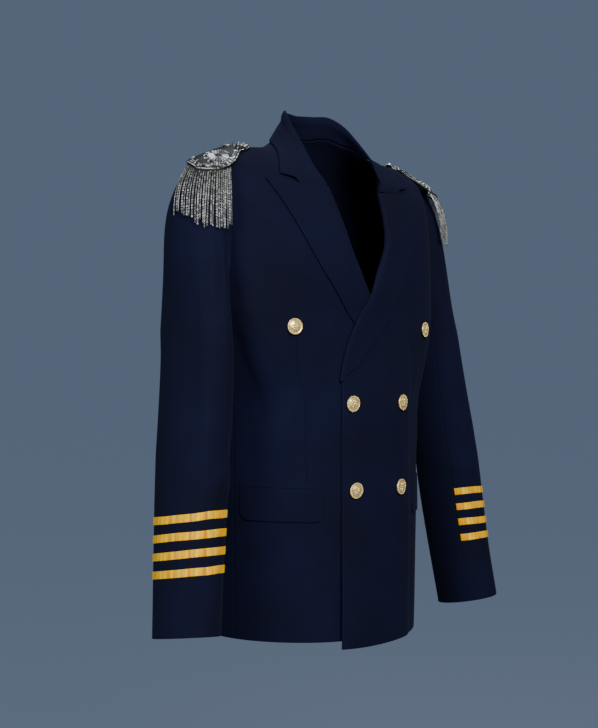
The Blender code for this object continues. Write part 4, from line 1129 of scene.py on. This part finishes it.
# name, height of its top over the flap's, depth, thickness, corner, gap under its top and its foot,
# flat width, length and area
POCKET_PIECES = (
    ("flap", 0.0, FLAP_DEEP, FLAP_THICK, FLAP_CORNER, 0.0002, 0.0008, (0.119, 0.046, 0.0053)),
    ("welt", WELT_DEEP + 0.0002, WELT_DEEP, WELT_THICK, 0.0, 0.0002, 0.0004, (0.119, 0.010, 0.00077)),
)
theta = np.linspace(FLAP_FROM, FLAP_TO, 80)
along = (theta - FLAP_FROM) / (FLAP_TO - FLAP_FROM)
arc = np.cumsum(np.r_[0, np.linalg.norm(np.diff(body(theta, 0.45), axis=0), axis=-1)])
for side in ("left", "right"):
    for name, above, deep, thick, corner, gap_top, gap_foot, flat in POCKET_PIECES:
        top = FLAP_FRONT_Z + (FLAP_BACK_Z - FLAP_FRONT_Z) * along + above
        end = np.minimum(arc, arc[-1] - arc)
        rise = corner - np.sqrt(np.clip(corner**2 - np.clip(corner - end, 0, corner) ** 2, 0, None))
        down = np.linspace(1, 0, 22 if corner else 8)[:, None]
        z = top - (deep - rise) * down
        hem = hem_height(theta)
        level = (z - hem) / (CHEST_Z - hem)
        turn = np.broadcast_to(theta, level.shape)
        base, normal = body(turn, level), body_normal(turn, level)
        lift = lift_needed(base, normal, [f"front_{side}_cloth"], 0, side == "right", -LOOK_UNDER)
        lift = softened(lift, 6) + gap_top + (gap_foot - gap_top) * down
        lift = lift - END_PRESS * (1 - ease(end, 0, END_LONG))
        sew(
            f"{name}_{side}_cloth",
            base + normal * (lift + thick)[..., None],
            normal,
            worsted,
            f"{name}_{side}",
            edges=(thick / 2, SEWN_EDGE, thick / 2, thick / 2),
            thick=thick,
            right=side == "right",
        )

# Buttons
# Six shanked brass buttons, each a pressed dome with a roped rim and a plain rosette of eight petals.
# The shank behind it is sewn through the cloth and doesn't show.

# Pale brass, pressed and lacquered. It gives broad warm highlights, with darker spots of tarnish of
# about 2.4 mm between the raised parts.
TARNISH_PER_METRE = 420.0
brass, brass_shader = new_material("pale_brass", "#D9BC7C", 0.32, 0.65)
brass_place = add_node(brass, "ShaderNodeTexCoord").outputs["Object"]
vary_colour(
    brass, brass_shader, brass_place, TARNISH_PER_METRE, 3.0, low=(0.34, "#BFA150"), high=(0.60, "#FFE9A6")
)
BUTTON_R = 0.0110
BUTTON_GAP = 0.0003
BUTTON_SPIN = 0.35
# radius and height over the button's radius: its foot, the rope, the petals and the boss
FOOT_AT = (0.62, 0.0)
ROPE_AT = (0.925, 0.325)
PETALS_AT = (0.36, 0.455)
BOSS_HIGH = 0.49
ROPE_BEADS = 34
PETALS = 8
# radius and height of each ring of the button's side and face, over its radius
BUTTON_TURNING = (
    (0.80, 0.06),
    (0.95, 0.13),
    (1.00, 0.22),
    (0.99, 0.28),
    (0.94, 0.33),
    (0.88, 0.34),
    (0.82, 0.31),
    (0.77, 0.29),
    (0.73, 0.31),
    (0.60, 0.38),
    (0.44, 0.44),
    (0.26, 0.48),
    (0.10, 0.495),
)
bpy.ops.object.select_all(action="DESELECT")
bpy.ops.mesh.primitive_circle_add(vertices=48, radius=FOOT_AT[0] * BUTTON_R, fill_type="NGON")
button_turned = bpy.context.object
bpy.ops.object.mode_set(mode="EDIT")
bpy.ops.mesh.select_all(action="SELECT")
radius, height = FOOT_AT
for wide, high in BUTTON_TURNING:
    bpy.ops.mesh.extrude_region_move(TRANSFORM_OT_translate={"value": (0, 0, (high - height) * BUTTON_R)})
    bpy.ops.transform.resize(value=(wide / radius, wide / radius, 1))
    radius, height = wide, high
bpy.ops.mesh.select_all(action="SELECT")
bpy.ops.mesh.normals_make_consistent(inside=False)
bpy.ops.object.mode_set(mode="OBJECT")
bpy.ops.object.shade_smooth()
pressed = [button_turned]
# count, radius and height on the button, segments, rings, radius, scale, tilt and turn in degrees
RAISED = (
    (ROPE_BEADS, ROPE_AT, 8, 5, 0.00095, (1.15, 0.62, 0.75), 0, 38),
    (PETALS, PETALS_AT, 12, 8, 0.0021, (1.0, 0.52, 0.36), 12, 0),
    (1, (0.0, BOSS_HIGH), 16, 10, 0.0017, (1.0, 1.0, 0.6), 0, 0),
)
for count, (out, high), segments, rings, size, scale, tilt, aside in RAISED:
    for k in range(count):
        turn = 2 * math.pi * k / count
        at = [part * BUTTON_R for part in (out * math.cos(turn), out * math.sin(turn), high)]
        bpy.ops.mesh.primitive_uv_sphere_add(segments=segments, ring_count=rings, radius=size, location=at)
        bpy.context.object.scale = scale
        bpy.context.object.rotation_euler = (0, math.radians(tilt), turn + math.radians(aside))
        bpy.ops.object.shade_smooth()
        pressed.append(bpy.context.object)
for piece in pressed:
    piece.select_set(True)
bpy.context.view_layer.objects.active = button_turned
bpy.ops.object.join()
bpy.ops.object.transform_apply(location=True, rotation=True, scale=True)
button_turned.data.materials.append(brass)
# row, side it sits on, x, z, front it stands on, lean outward and downward in degrees
BUTTONS = (
    ("top", "left", 0.133, -0.259, "front_left", 0, 0),
    ("top", "right", -0.133, -0.259, "front_right", 0, 0),
    ("middle", "left", 0.050, -0.363, "front_left", 0, 2),
    ("middle", "right", -0.050, -0.363, "front_left", 4, 5),
    ("low", "left", 0.045, -0.481, "front_left", 0, 2),
    ("low", "right", -0.045, -0.481, "front_left", 3, 6),
)
for number, (row, side, x, z, under, lean_out, lean_down) in enumerate(BUTTONS):
    place = from_front(np.array(x), np.array(z))
    out = body_normal(place[0], place[1])
    across = unit(np.cross(np.array([0, 0, 1.0]), out))
    up = np.cross(out, across)
    centre = body(place[0], place[1])
    ring = np.linspace(0, 2 * math.pi, 16, endpoint=False)[:, None]
    foot = centre + (across * np.cos(ring) + up * np.sin(ring)) * FOOT_AT[0] * BUTTON_R
    lift = lift_needed(foot, np.broadcast_to(out, foot.shape), [under + "_cloth"], 0.0, least=-LOOK_UNDER)
    turned = Matrix(np.column_stack([across, up, out]).tolist()).to_4x4()
    lean = Matrix.Rotation(math.radians(lean_down), 4, "X") @ Matrix.Rotation(math.radians(lean_out), 4, "Y")
    # Each button is sewn on at its own turn, and its shank holds it a little off the cloth.
    spin = Matrix.Rotation(BUTTON_SPIN * number, 4, "Z")
    lifted = Vector(centre + out * (lift.max() + BUTTON_GAP))
    mesh = button_turned.data.copy()
    mesh.transform(Matrix.Translation(lifted) @ turned @ lean @ spin)
    button = bpy.data.objects.new(f"button_{row}_{side}_brass", mesh)
    bpy.context.scene.collection.objects.link(button)
    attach(button, "root")
    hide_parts(f"button_{row}_{side}")
bpy.data.objects.remove(button_turned, do_unlink=True)

# Shoulder boards
# A padded silver board on each shoulder, a narrow tab at the collar's end and nearly round over the
# sleeve's head. A domed sunburst of cut stones sits on it, leaves lie on its tab, and rows of beads and
# stones run round its rim, all glued and sewn on.


def dappled(name, roughness, metallic, colours):
    """A material whose small separate pieces each take one of the colours, from (share, colour)."""
    material, shader = new_material(name, colours[0][1], roughness, metallic)
    island = add_node(material, "ShaderNodeNewGeometry").outputs["Random Per Island"]
    ramp = add_node(material, "ShaderNodeValToRGB", None, {"Fac": island})
    ramp.color_ramp.interpolation = "CONSTANT"
    ramp.color_ramp.elements[0].color = linear(colours[0][1])
    ramp.color_ramp.elements[1].position = colours[1][0]
    ramp.color_ramp.elements[1].color = linear(colours[1][1])
    for position, colour in colours[2:]:
        ramp.color_ramp.elements.new(position).color = linear(colour)
    material.node_tree.links.new(ramp.outputs["Color"], shader.inputs["Base Color"])
    return material, shader


# Antiqued silver plate on cast metal. Beads and leaves are bright where they are rubbed, and some of
# them stay dark.
silver, _ = dappled("antique_silver", 0.30, 1.0, ((0.0, "#3A3C3A"), (0.30, "#7C7F7A"), (0.66, "#CDCFC8")))
# Blackened silver plate, dull, and dark enamel, smooth and nearly black, show between the trim.
dark_silver, _ = new_material("blackened_silver", "#454644", 0.45, 1.0)
dark_enamel, _ = new_material("dark_enamel", "#17181B", 0.40)
# Cut and polished lead glass. The clear stones are painted grey to white at random, a painted reflection
# of the light they throw back. Smoky ones are dark glass, with a few painted bright glints among them.
GLASS_IOR = 1.6
stone, stone_shader = dappled(
    "cut_glass", 0.14, 0.0, ((0.0, "#5C6066"), (0.24, "#A5A9AF"), (0.50, "#E8EBEF"))
)
stone_shader.inputs["IOR"].default_value = GLASS_IOR
smoky_stone, _ = dappled(
    "smoky_glass", 0.18, 0.0, ((0.0, "#17181B"), (0.34, "#45484C"), (0.66, "#8B8E92"), (0.88, "#D2D5DA"))
)
# share of the length, half width
BOARD = (
    (0.00, 0.0060),
    (0.05, 0.0105),
    (0.15, 0.0120),
    (0.24, 0.0135),
    (0.31, 0.0185),
    (0.42, 0.0255),
    (0.54, 0.0298),
    (0.65, 0.0310),
    (0.77, 0.0292),
    (0.88, 0.0232),
    (0.95, 0.0155),
    (1.00, 0.0080),
)
BOARD_START, BOARD_END = 0.146, 0.243
BOARD_Y = -0.014
BOARD_THICK = 0.0026
BOARD_EDGE = 0.0008
BOARD_PAD = 0.0022  # how much thicker it is away from its rim
# distance from the middle, height of the underside's crest, how steeply its sides fall
BOARD_RISE = (
    (0.140, -0.0105, 0.38),
    (0.160, -0.0145, 0.48),
    (0.180, -0.0194, 0.57),
    (0.200, -0.0266, 0.62),
    (0.220, -0.0347, 0.62),
    (0.232, -0.0396, 0.65),
    (0.245, -0.0480, 0.70),
)
BOARD_BEHIND = 1.28  # how much more steeply it falls behind its crest
BOARD_CREST_Y = -0.002
BOARD_BEND = 0.012  # half the width over which the crest is rounded


def board_height(x, y):
    crest, fall = read(BOARD_RISE, x)
    fall = fall * np.where(y > BOARD_CREST_Y, BOARD_BEHIND, 1.0)
    return crest - fall * (np.hypot(y - BOARD_CREST_Y, BOARD_BEND) - BOARD_BEND)


def board_half(x):
    return read(BOARD, (x - BOARD_START) / (BOARD_END - BOARD_START))[0]


# Three near places, from which the board's slope is measured
SLOPE_STEPS = ((0.0, 0.0), (0.0005, 0.0), (0.0, 0.0005))


def board_top(x, y):
    """Point on the board's upper face at x and y, and the direction out of it."""
    points = [np.stack([x + dx, y + dy, board_height(x + dx, y + dy)], -1) for dx, dy in SLOPE_STEPS]
    out = unit(np.cross(points[1] - points[0], points[2] - points[0]))
    aside = np.clip(np.abs(y - BOARD_Y) / board_half(x), 0, 1)
    return points[0] + out * (BOARD_THICK + BOARD_PAD * (1 - aside**4))[..., None], out


def gather(name, one, spots, material, right, smooth=True):
    """Copies of one small mesh at each (place, across, along, out, size), as one piece."""
    points = np.array([vertex.co[:] for vertex in one.vertices])
    faces = [tuple(polygon.vertices) for polygon in one.polygons]
    all_points, all_faces = [], []
    for number, (place, across, along, out, size) in enumerate(spots):
        turned = points * size
        moved = place + turned[:, :1] * across + turned[:, 1:2] * along + turned[:, 2:] * out
        all_points.append(moved * (-1, 1, 1) if right else moved)
        start = number * len(points)
        for face in faces:
            corners = tuple(start + k for k in face)
            all_faces.append(corners[::-1] if right else corners)
    gathered = add_piece(name, np.concatenate(all_points), all_faces, material)
    gathered.data.polygons.foreach_set("use_smooth", [smooth] * len(all_faces))


def lay_disc(name, points, out, material, right):
    """A round plate with its rim turned down, from rings of points that start at its middle."""
    rings = np.concatenate([points, points[-1:] - out[-1:] * DOME_RIM])
    count, turns = rings.shape[:2]
    corners = np.concatenate([rings.reshape(-1, 3), [rings[0].mean(0)], [rings[-1].mean(0)]])
    r, c = np.meshgrid(np.arange(count - 1), np.arange(turns), indexing="ij")
    a, b = (r * turns + c).ravel(), (r * turns + (c + 1) % turns).ravel()
    faces = np.stack([a, a + turns, b + turns, b], -1).tolist()
    top, foot, last = count * turns, count * turns + 1, (count - 1) * turns
    for k in range(turns):
        faces.append([top, k, (k + 1) % turns])
        faces.append([foot, last + (k + 1) % turns, last + k])
    if right:
        corners = corners * (-1, 1, 1)
    close_edges(add_piece(name, corners, faces, material))


def facing(place, out, toward):
    """Frame of a small shape at place that stands along out and points toward another place."""
    along = toward - place
    along = unit(along - out * np.dot(along, out))
    return place, np.cross(along, out), along, out


# The small shapes that the trim is made of: a bead, a cut stone narrower at the end that points
# inward, and a leaf.
bpy.ops.object.select_all(action="DESELECT")
bpy.ops.mesh.primitive_uv_sphere_add(segments=10, ring_count=6, radius=1.0)
bead = bpy.context.object
bpy.ops.mesh.primitive_cube_add(size=1.0)
cut_stone = bpy.context.object
for polygon in cut_stone.data.polygons:
    polygon.select = polygon.normal.z > 0.5
bpy.ops.object.mode_set(mode="EDIT")
bpy.ops.mesh.select_mode(type="FACE")
bpy.ops.mesh.inset(thickness=0.22, depth=0.0)
bpy.ops.transform.translate(value=(0, 0, 0.35))
bpy.ops.object.mode_set(mode="OBJECT")
for vertex in cut_stone.data.vertices:
    vertex.co.x *= 0.70 - 0.60 * vertex.co.y
bpy.ops.mesh.primitive_uv_sphere_add(segments=12, ring_count=8, radius=0.5)
leaf = bpy.context.object
for vertex in leaf.data.vertices:
    vertex.co.x *= 0.62 - 0.76 * vertex.co.y

share = np.r_[np.linspace(0, 0.1, 6), np.linspace(0.1, 1.0, 44)[1:]]
board_x = BOARD_START + share * (BOARD_END - BOARD_START)
across_board = np.linspace(1, -1, 30)[None] * board_half(board_x)[:, None]
along_board = np.broadcast_to(board_x[:, None], across_board.shape)
board_points, board_out = board_top(along_board, BOARD_Y + across_board)

# The rim, from the tab round the front, and places along it a steady way in from it
rim_x = np.r_[board_x, board_x[::-1]]
rim_y = BOARD_Y + np.r_[-board_half(board_x), board_half(board_x)[::-1]]
rim = np.stack([rim_x, rim_y], -1)
rim = np.vstack([rim, rim[:1]])
walk = np.r_[0, np.cumsum(np.linalg.norm(np.diff(rim, axis=0), axis=-1))]


def along_rim(pitch, inward):
    """Places on the board's upper face, a pitch apart and a little in from its rim."""
    at = np.arange(0, walk[-1] - pitch / 2, pitch)
    place = np.stack([np.interp(at, walk, rim[:, k]) for k in (0, 1)], -1)
    ahead = np.stack([np.interp(at + 0.001, walk, rim[:, k], period=walk[-1]) for k in (0, 1)], -1)
    step = unit(ahead - place)
    place = place + np.stack([-step[:, 1], step[:, 0]], -1) * inward
    top, out = board_top(place[:, 0], place[:, 1])
    toward = board_top(ahead[:, 0], ahead[:, 1])[0]
    return [facing(top[k], out[k], toward[k]) for k in range(len(at))]


# The medallion lies on the board: its middle, its radius, how high it is domed, and how far its rim
# is turned down
MEDALLION = np.array((0.2070, -0.0248))
MEDALLION_R = 0.0190
DOME_HIGH = 0.0026
DOME_RIM = 0.0016
# The dome's mesh and the boss start this far from the middle, where its direction is still known
DOME_START = 0.0002
BOSS_START = 0.00001


def on_dome(radius, turn):
    """Frame on the medallion, facing out of it and pointing at its middle."""
    ray = np.array([math.cos(turn), math.sin(turn)])
    spot = MEDALLION + ray * radius
    top, out = board_top(spot[0], spot[1])
    middle = board_top(*MEDALLION)[0]
    inward = unit(middle - top)
    height = DOME_HIGH * (1 - (radius / MEDALLION_R) ** 2)
    out = unit(out - inward * 2 * DOME_HIGH * radius / MEDALLION_R**2)
    place = top + out * height
    return facing(place, out, place + inward)


# radius of the middle of each ring of stones, how many, width, length, height
STONE_RINGS = (
    (0.0092, 19, 0.0015, 0.0080, 0.0016),
    (0.0160, 34, 0.0017, 0.0040, 0.0012),
)
# radius of each ring of beads, how many, size of a bead
BEAD_RINGS = (
    (0.0043, 17, 0.00072),
    (0.0135, 60, 0.00062),
    (0.0186, 76, 0.00078),
)
# rows along the rim: pitch, how far in from it, width, length and height of each bead or stone
RIM_BEADS = (
    (0.0021, 0.0012, (0.00105, 0.00105, 0.00085)),
    (0.0021, 0.0070, (0.00070, 0.00080, 0.00065)),
)
RIM_STONES = (0.0024, 0.0042, (0.0042, 0.0015, 0.0010))
BOSS = (0.0036, 0.0036, 0.0022)
LEAF_HIGH = 0.0026
LEAF_LIFT = 0.0004
# Leaves on the tab, then behind the medallion: x, y, which way the tip points in degrees, length,
# width, how far the tip rises
LEAVES = (
    (0.1560, -0.0140, 180, 0.0120, 0.0042, 0.16),
    (0.1580, -0.0175, 218, 0.0115, 0.0040, 0.10),
    (0.1580, -0.0105, 142, 0.0115, 0.0040, 0.26),
    (0.1640, -0.0200, 240, 0.0095, 0.0036, 0.10),
    (0.1640, -0.0080, 120, 0.0095, 0.0036, 0.24),
    (0.1700, -0.0200, 330, 0.0090, 0.0036, 0.05),
    (0.1700, -0.0080, 30, 0.0090, 0.0036, 0.10),
    (0.1690, -0.0140, 180, 0.0070, 0.0034, 0.20),
    (0.1790, -0.0240, 250, 0.0080, 0.0034, 0.00),
    (0.1790, -0.0040, 110, 0.0080, 0.0034, 0.05),
    (0.1850, -0.0080, 180, 0.0070, 0.0026, 0.10),
    (0.1870, 0.0020, 130, 0.0065, 0.0024, 0.05),
    (0.1960, 0.0060, 110, 0.0060, 0.0022, 0.02),
    (0.2040, 0.0080, 90, 0.0060, 0.0022, 0.02),
    (0.2120, 0.0080, 70, 0.0060, 0.0022, 0.02),
    (0.2200, 0.0040, 50, 0.0065, 0.0024, 0.02),
    (0.2300, -0.0060, 20, 0.0060, 0.0022, 0.02),
    (0.2320, -0.0150, -5, 0.0060, 0.0022, 0.02),
)
turns = 2 * math.pi * np.arange(60) / 60
dome_rows = np.linspace(DOME_START, MEDALLION_R, 14)
dome = [[on_dome(radius, turn) for turn in turns] for radius in dome_rows]
dome_points = np.array([[spot[0] for spot in row] for row in dome])
dome_out = np.array([[spot[3] for spot in row] for row in dome])
for side in ("left", "right"):
    right = side == "right"
    sew(
        f"board_{side}_plate",
        board_points,
        board_out,
        dark_silver,
        f"board_{side}",
        edges=[BOARD_EDGE] * 4,
        thick=BOARD_THICK,
        right=right,
    )
    lay_disc(f"board_{side}_dome", dome_points, dome_out, dark_enamel, right)
    beads = [(*spot, np.array(size)) for *row, size in RIM_BEADS for spot in along_rim(*row)]
    for radius, count, size in BEAD_RINGS:
        for k in range(count):
            beads.append((*on_dome(radius, 2 * math.pi * k / count), np.full(3, size)))
    gather(f"board_{side}_beads", bead.data, beads, silver, right)
    # The outer ring and the rim have the smoky stones.
    stones = [], [(*spot, np.array(RIM_STONES[2])) for spot in along_rim(*RIM_STONES[:2])]
    for ring, (radius, count, wide, long, high) in enumerate(STONE_RINGS):
        for k in range(count):
            spot = on_dome(radius, 2 * math.pi * k / count)
            stones[ring].append((*spot, np.array((wide, long, high))))
    gather(f"board_{side}_stones", cut_stone.data, stones[0], stone, right, smooth=False)
    gather(f"board_{side}_smoky_stones", cut_stone.data, stones[1], smoky_stone, right, smooth=False)
    leaves = []
    for x, y, turn, long, wide, rise in LEAVES:
        top, out = board_top(np.array(x), np.array(y))
        tip = np.array([math.cos(math.radians(turn)), math.sin(math.radians(turn)), rise])
        along = unit(tip - out * (np.dot(tip, out) - rise))
        up = unit(out - along * np.dot(out, along))
        middle = top + along * long * 0.4 + up * LEAF_LIFT
        leaves.append((middle, np.cross(along, up), along, up, np.array((wide, long, LEAF_HIGH))))
    gather(f"board_{side}_leaves", leaf.data, leaves, silver, right)
    boss = (*on_dome(BOSS_START, 0.0), np.array(BOSS))
    gather(f"board_{side}_boss", bead.data, [boss], dark_silver, right)

# Chain fringe
# Silver curb chains hang from a strip under the board's rim, side by side round its outer half, and
# end a little unevenly. Every link is modelled, and lies turned against the next.

# Silver-plated steel chain, polished, in two copies: the links that lie flat take a lit copy with
# painted highlights, and the ones turned between them a copy darkened with painted shade.
chain, _ = dappled("painted_lit_silver", 0.28, 1.0, ((0.0, "#8F928F"), (0.30, "#BABDBA"), (0.62, "#EAEDE9")))
shaded_chain, _ = dappled(
    "painted_shade_silver", 0.34, 1.0, ((0.0, "#2A2C2B"), (0.50, "#4A4D4B"), (0.80, "#7A7E7B"))
)
STRANDS = {"left": 29, "right": 24}
STRAND_END_Z = {"left": -0.1245, "right": -0.1300}
# The roots and the feet each lie on an oval: degrees round it from its outer end to the front, its
# middle, and half its length and width
ROOT_FROM, ROOT_TO = 102.0, -25.0
ROOT_MIDDLE = (0.2090, -0.0140)
ROOT_HALF = (0.0310, 0.0305)
FOOT_FROM, FOOT_TO = 96.0, 2.0
FOOT_MIDDLE_X = 0.2190
FOOT_HALF_X = {"left": 0.0405, "right": 0.0470}
FOOT_HALF_Y = 0.0605
# The strip's depth, thickness and rounded edge, how far it is under the board and out from the roots
STRIP_DEEP = 0.0025
STRIP_THICK = 0.0018
STRIP_EDGE = 0.0006
STRIP_DOWN = 0.0007
STRIP_OUT = 0.0010
CHAIN_GAP = 0.0016
LINK_PITCH = 0.0018
LINK_R = 0.00090
LINK_WIRE_R = 0.00032
LINK_SHAPE = (0.95, 1.35, 1.0)
bpy.ops.object.select_all(action="DESELECT")
bpy.ops.mesh.primitive_torus_add(
    major_segments=9, minor_segments=5, major_radius=LINK_R, minor_radius=LINK_WIRE_R
)
link = bpy.context.object
link.scale = LINK_SHAPE
bpy.ops.object.transform_apply(location=False, rotation=False, scale=True)


def fringe_path(share, drop=0.0, side="right"):
    """Where the chains hang: share runs from the board's front corner round its outer end, and drop
    from a chain's root to its foot."""
    root_turn = np.radians(ROOT_FROM + (ROOT_TO - ROOT_FROM) * share)
    foot_turn = np.radians(FOOT_FROM + (FOOT_TO - FOOT_FROM) * share)
    root_x = ROOT_MIDDLE[0] + ROOT_HALF[0] * np.cos(root_turn)
    root_y = ROOT_MIDDLE[1] - ROOT_HALF[1] * np.sin(root_turn)
    foot_x = FOOT_MIDDLE_X + FOOT_HALF_X[side] * np.cos(foot_turn)
    foot_y = -FOOT_HALF_Y * np.sin(foot_turn)
    # The feet end a little unevenly, and higher toward the back.
    ragged = 0.0030 * np.sin(37.0 * share) + 0.0022 * np.sin(101.0 * share + 1.0)
    top = board_height(root_x, root_y) - STRIP_DOWN
    foot_z = STRAND_END_Z[side] + 0.020 * ease(share, 0.40, 1.0) + ragged
    root = np.stack([root_x, root_y, top], -1)
    return root + (np.stack([foot_x, foot_y, foot_z], -1) - root) * drop


rail = fringe_path(np.linspace(0, 1, 60))
rail_out = unit(np.cross(unit(np.gradient(rail, axis=0) * (1, 1, 0)), np.array([0, 0, 1.0])))
rail_grid = np.stack([rail + rail_out * STRIP_OUT - (0, 0, STRIP_DEEP * s) for s in (1.0, 0.5, 0.0)])
for side in ("left", "right"):
    right = side == "right"
    sew(
        f"fringe_{side}_rail",
        rail_grid,
        np.broadcast_to(rail_out, rail_grid.shape).copy(),
        dark_silver,
        f"fringe_{side}",
        edges=[STRIP_EDGE] * 4,
        thick=STRIP_THICK,
        right=right,
    )
    strand_share = (np.arange(STRANDS[side]) + 0.5) / STRANDS[side]
    root, foot = fringe_path(strand_share), fringe_path(strand_share, 1.0, side)
    tangent = unit(np.gradient(root, axis=0) * (1, 1, 0))
    outward = unit(np.cross(tangent, np.array([0, 0, 1.0])))
    spots = [], []
    for k in range(STRANDS[side]):
        start = root[k] - (0, 0, STRIP_DEEP * 0.3) + outward[k] * STRIP_THICK
        fine = np.linspace(0, 1, 60)[:, None]
        curve = start + (foot[k] - start) * np.concatenate([1 - (1 - fine) ** 2.6] * 2 + [fine], 1)
        sway = rng.normal(0, 0.0009, 2)
        curve = curve + tangent[k] * sway[0] * fine**1.5 + outward[k] * sway[1] * fine**1.5 * 0.5
        # The chains lie on the sleeve where they would pass through it.
        away = np.broadcast_to(outward[k], curve.shape)
        lift = lift_needed(curve, away, [f"sleeve_top_{side}_cloth"], CHAIN_GAP, right)
        curve = curve + outward[k] * lift[:, None]
        length = np.r_[0, np.cumsum(np.linalg.norm(np.diff(curve, axis=0), axis=-1))]
        marks = np.arange(0, length[-1] - 0.001, LINK_PITCH)
        for number, mark in enumerate(marks):
            place = np.array([np.interp(mark, length, curve[:, axis]) for axis in range(3)])
            ahead = np.array([np.interp(mark + 0.001, length, curve[:, axis]) for axis in range(3)])
            along = unit(ahead - place + np.array([0, 0, -1e-6]))
            across = unit(np.cross(along, outward[k]))
            flat = np.cross(across, along)
            lean = math.radians(34 if number % 2 else -34) + rng.normal(0, 0.08)
            turned = across * math.cos(lean) + flat * math.sin(lean)
            # Every other link goes to the copy with painted shade, and the rest to the lit copy.
            spots[(number + k) % 2].append((place, turned, along, np.cross(turned, along), 1.0))
    gather(f"fringe_{side}_chains", link.data, spots[0], chain, right)
    gather(f"fringe_{side}_shaded_links", link.data, spots[1], shaded_chain, right)
for shape in (bead, cut_stone, leaf, link):
    bpy.data.objects.remove(shape, do_unlink=True)
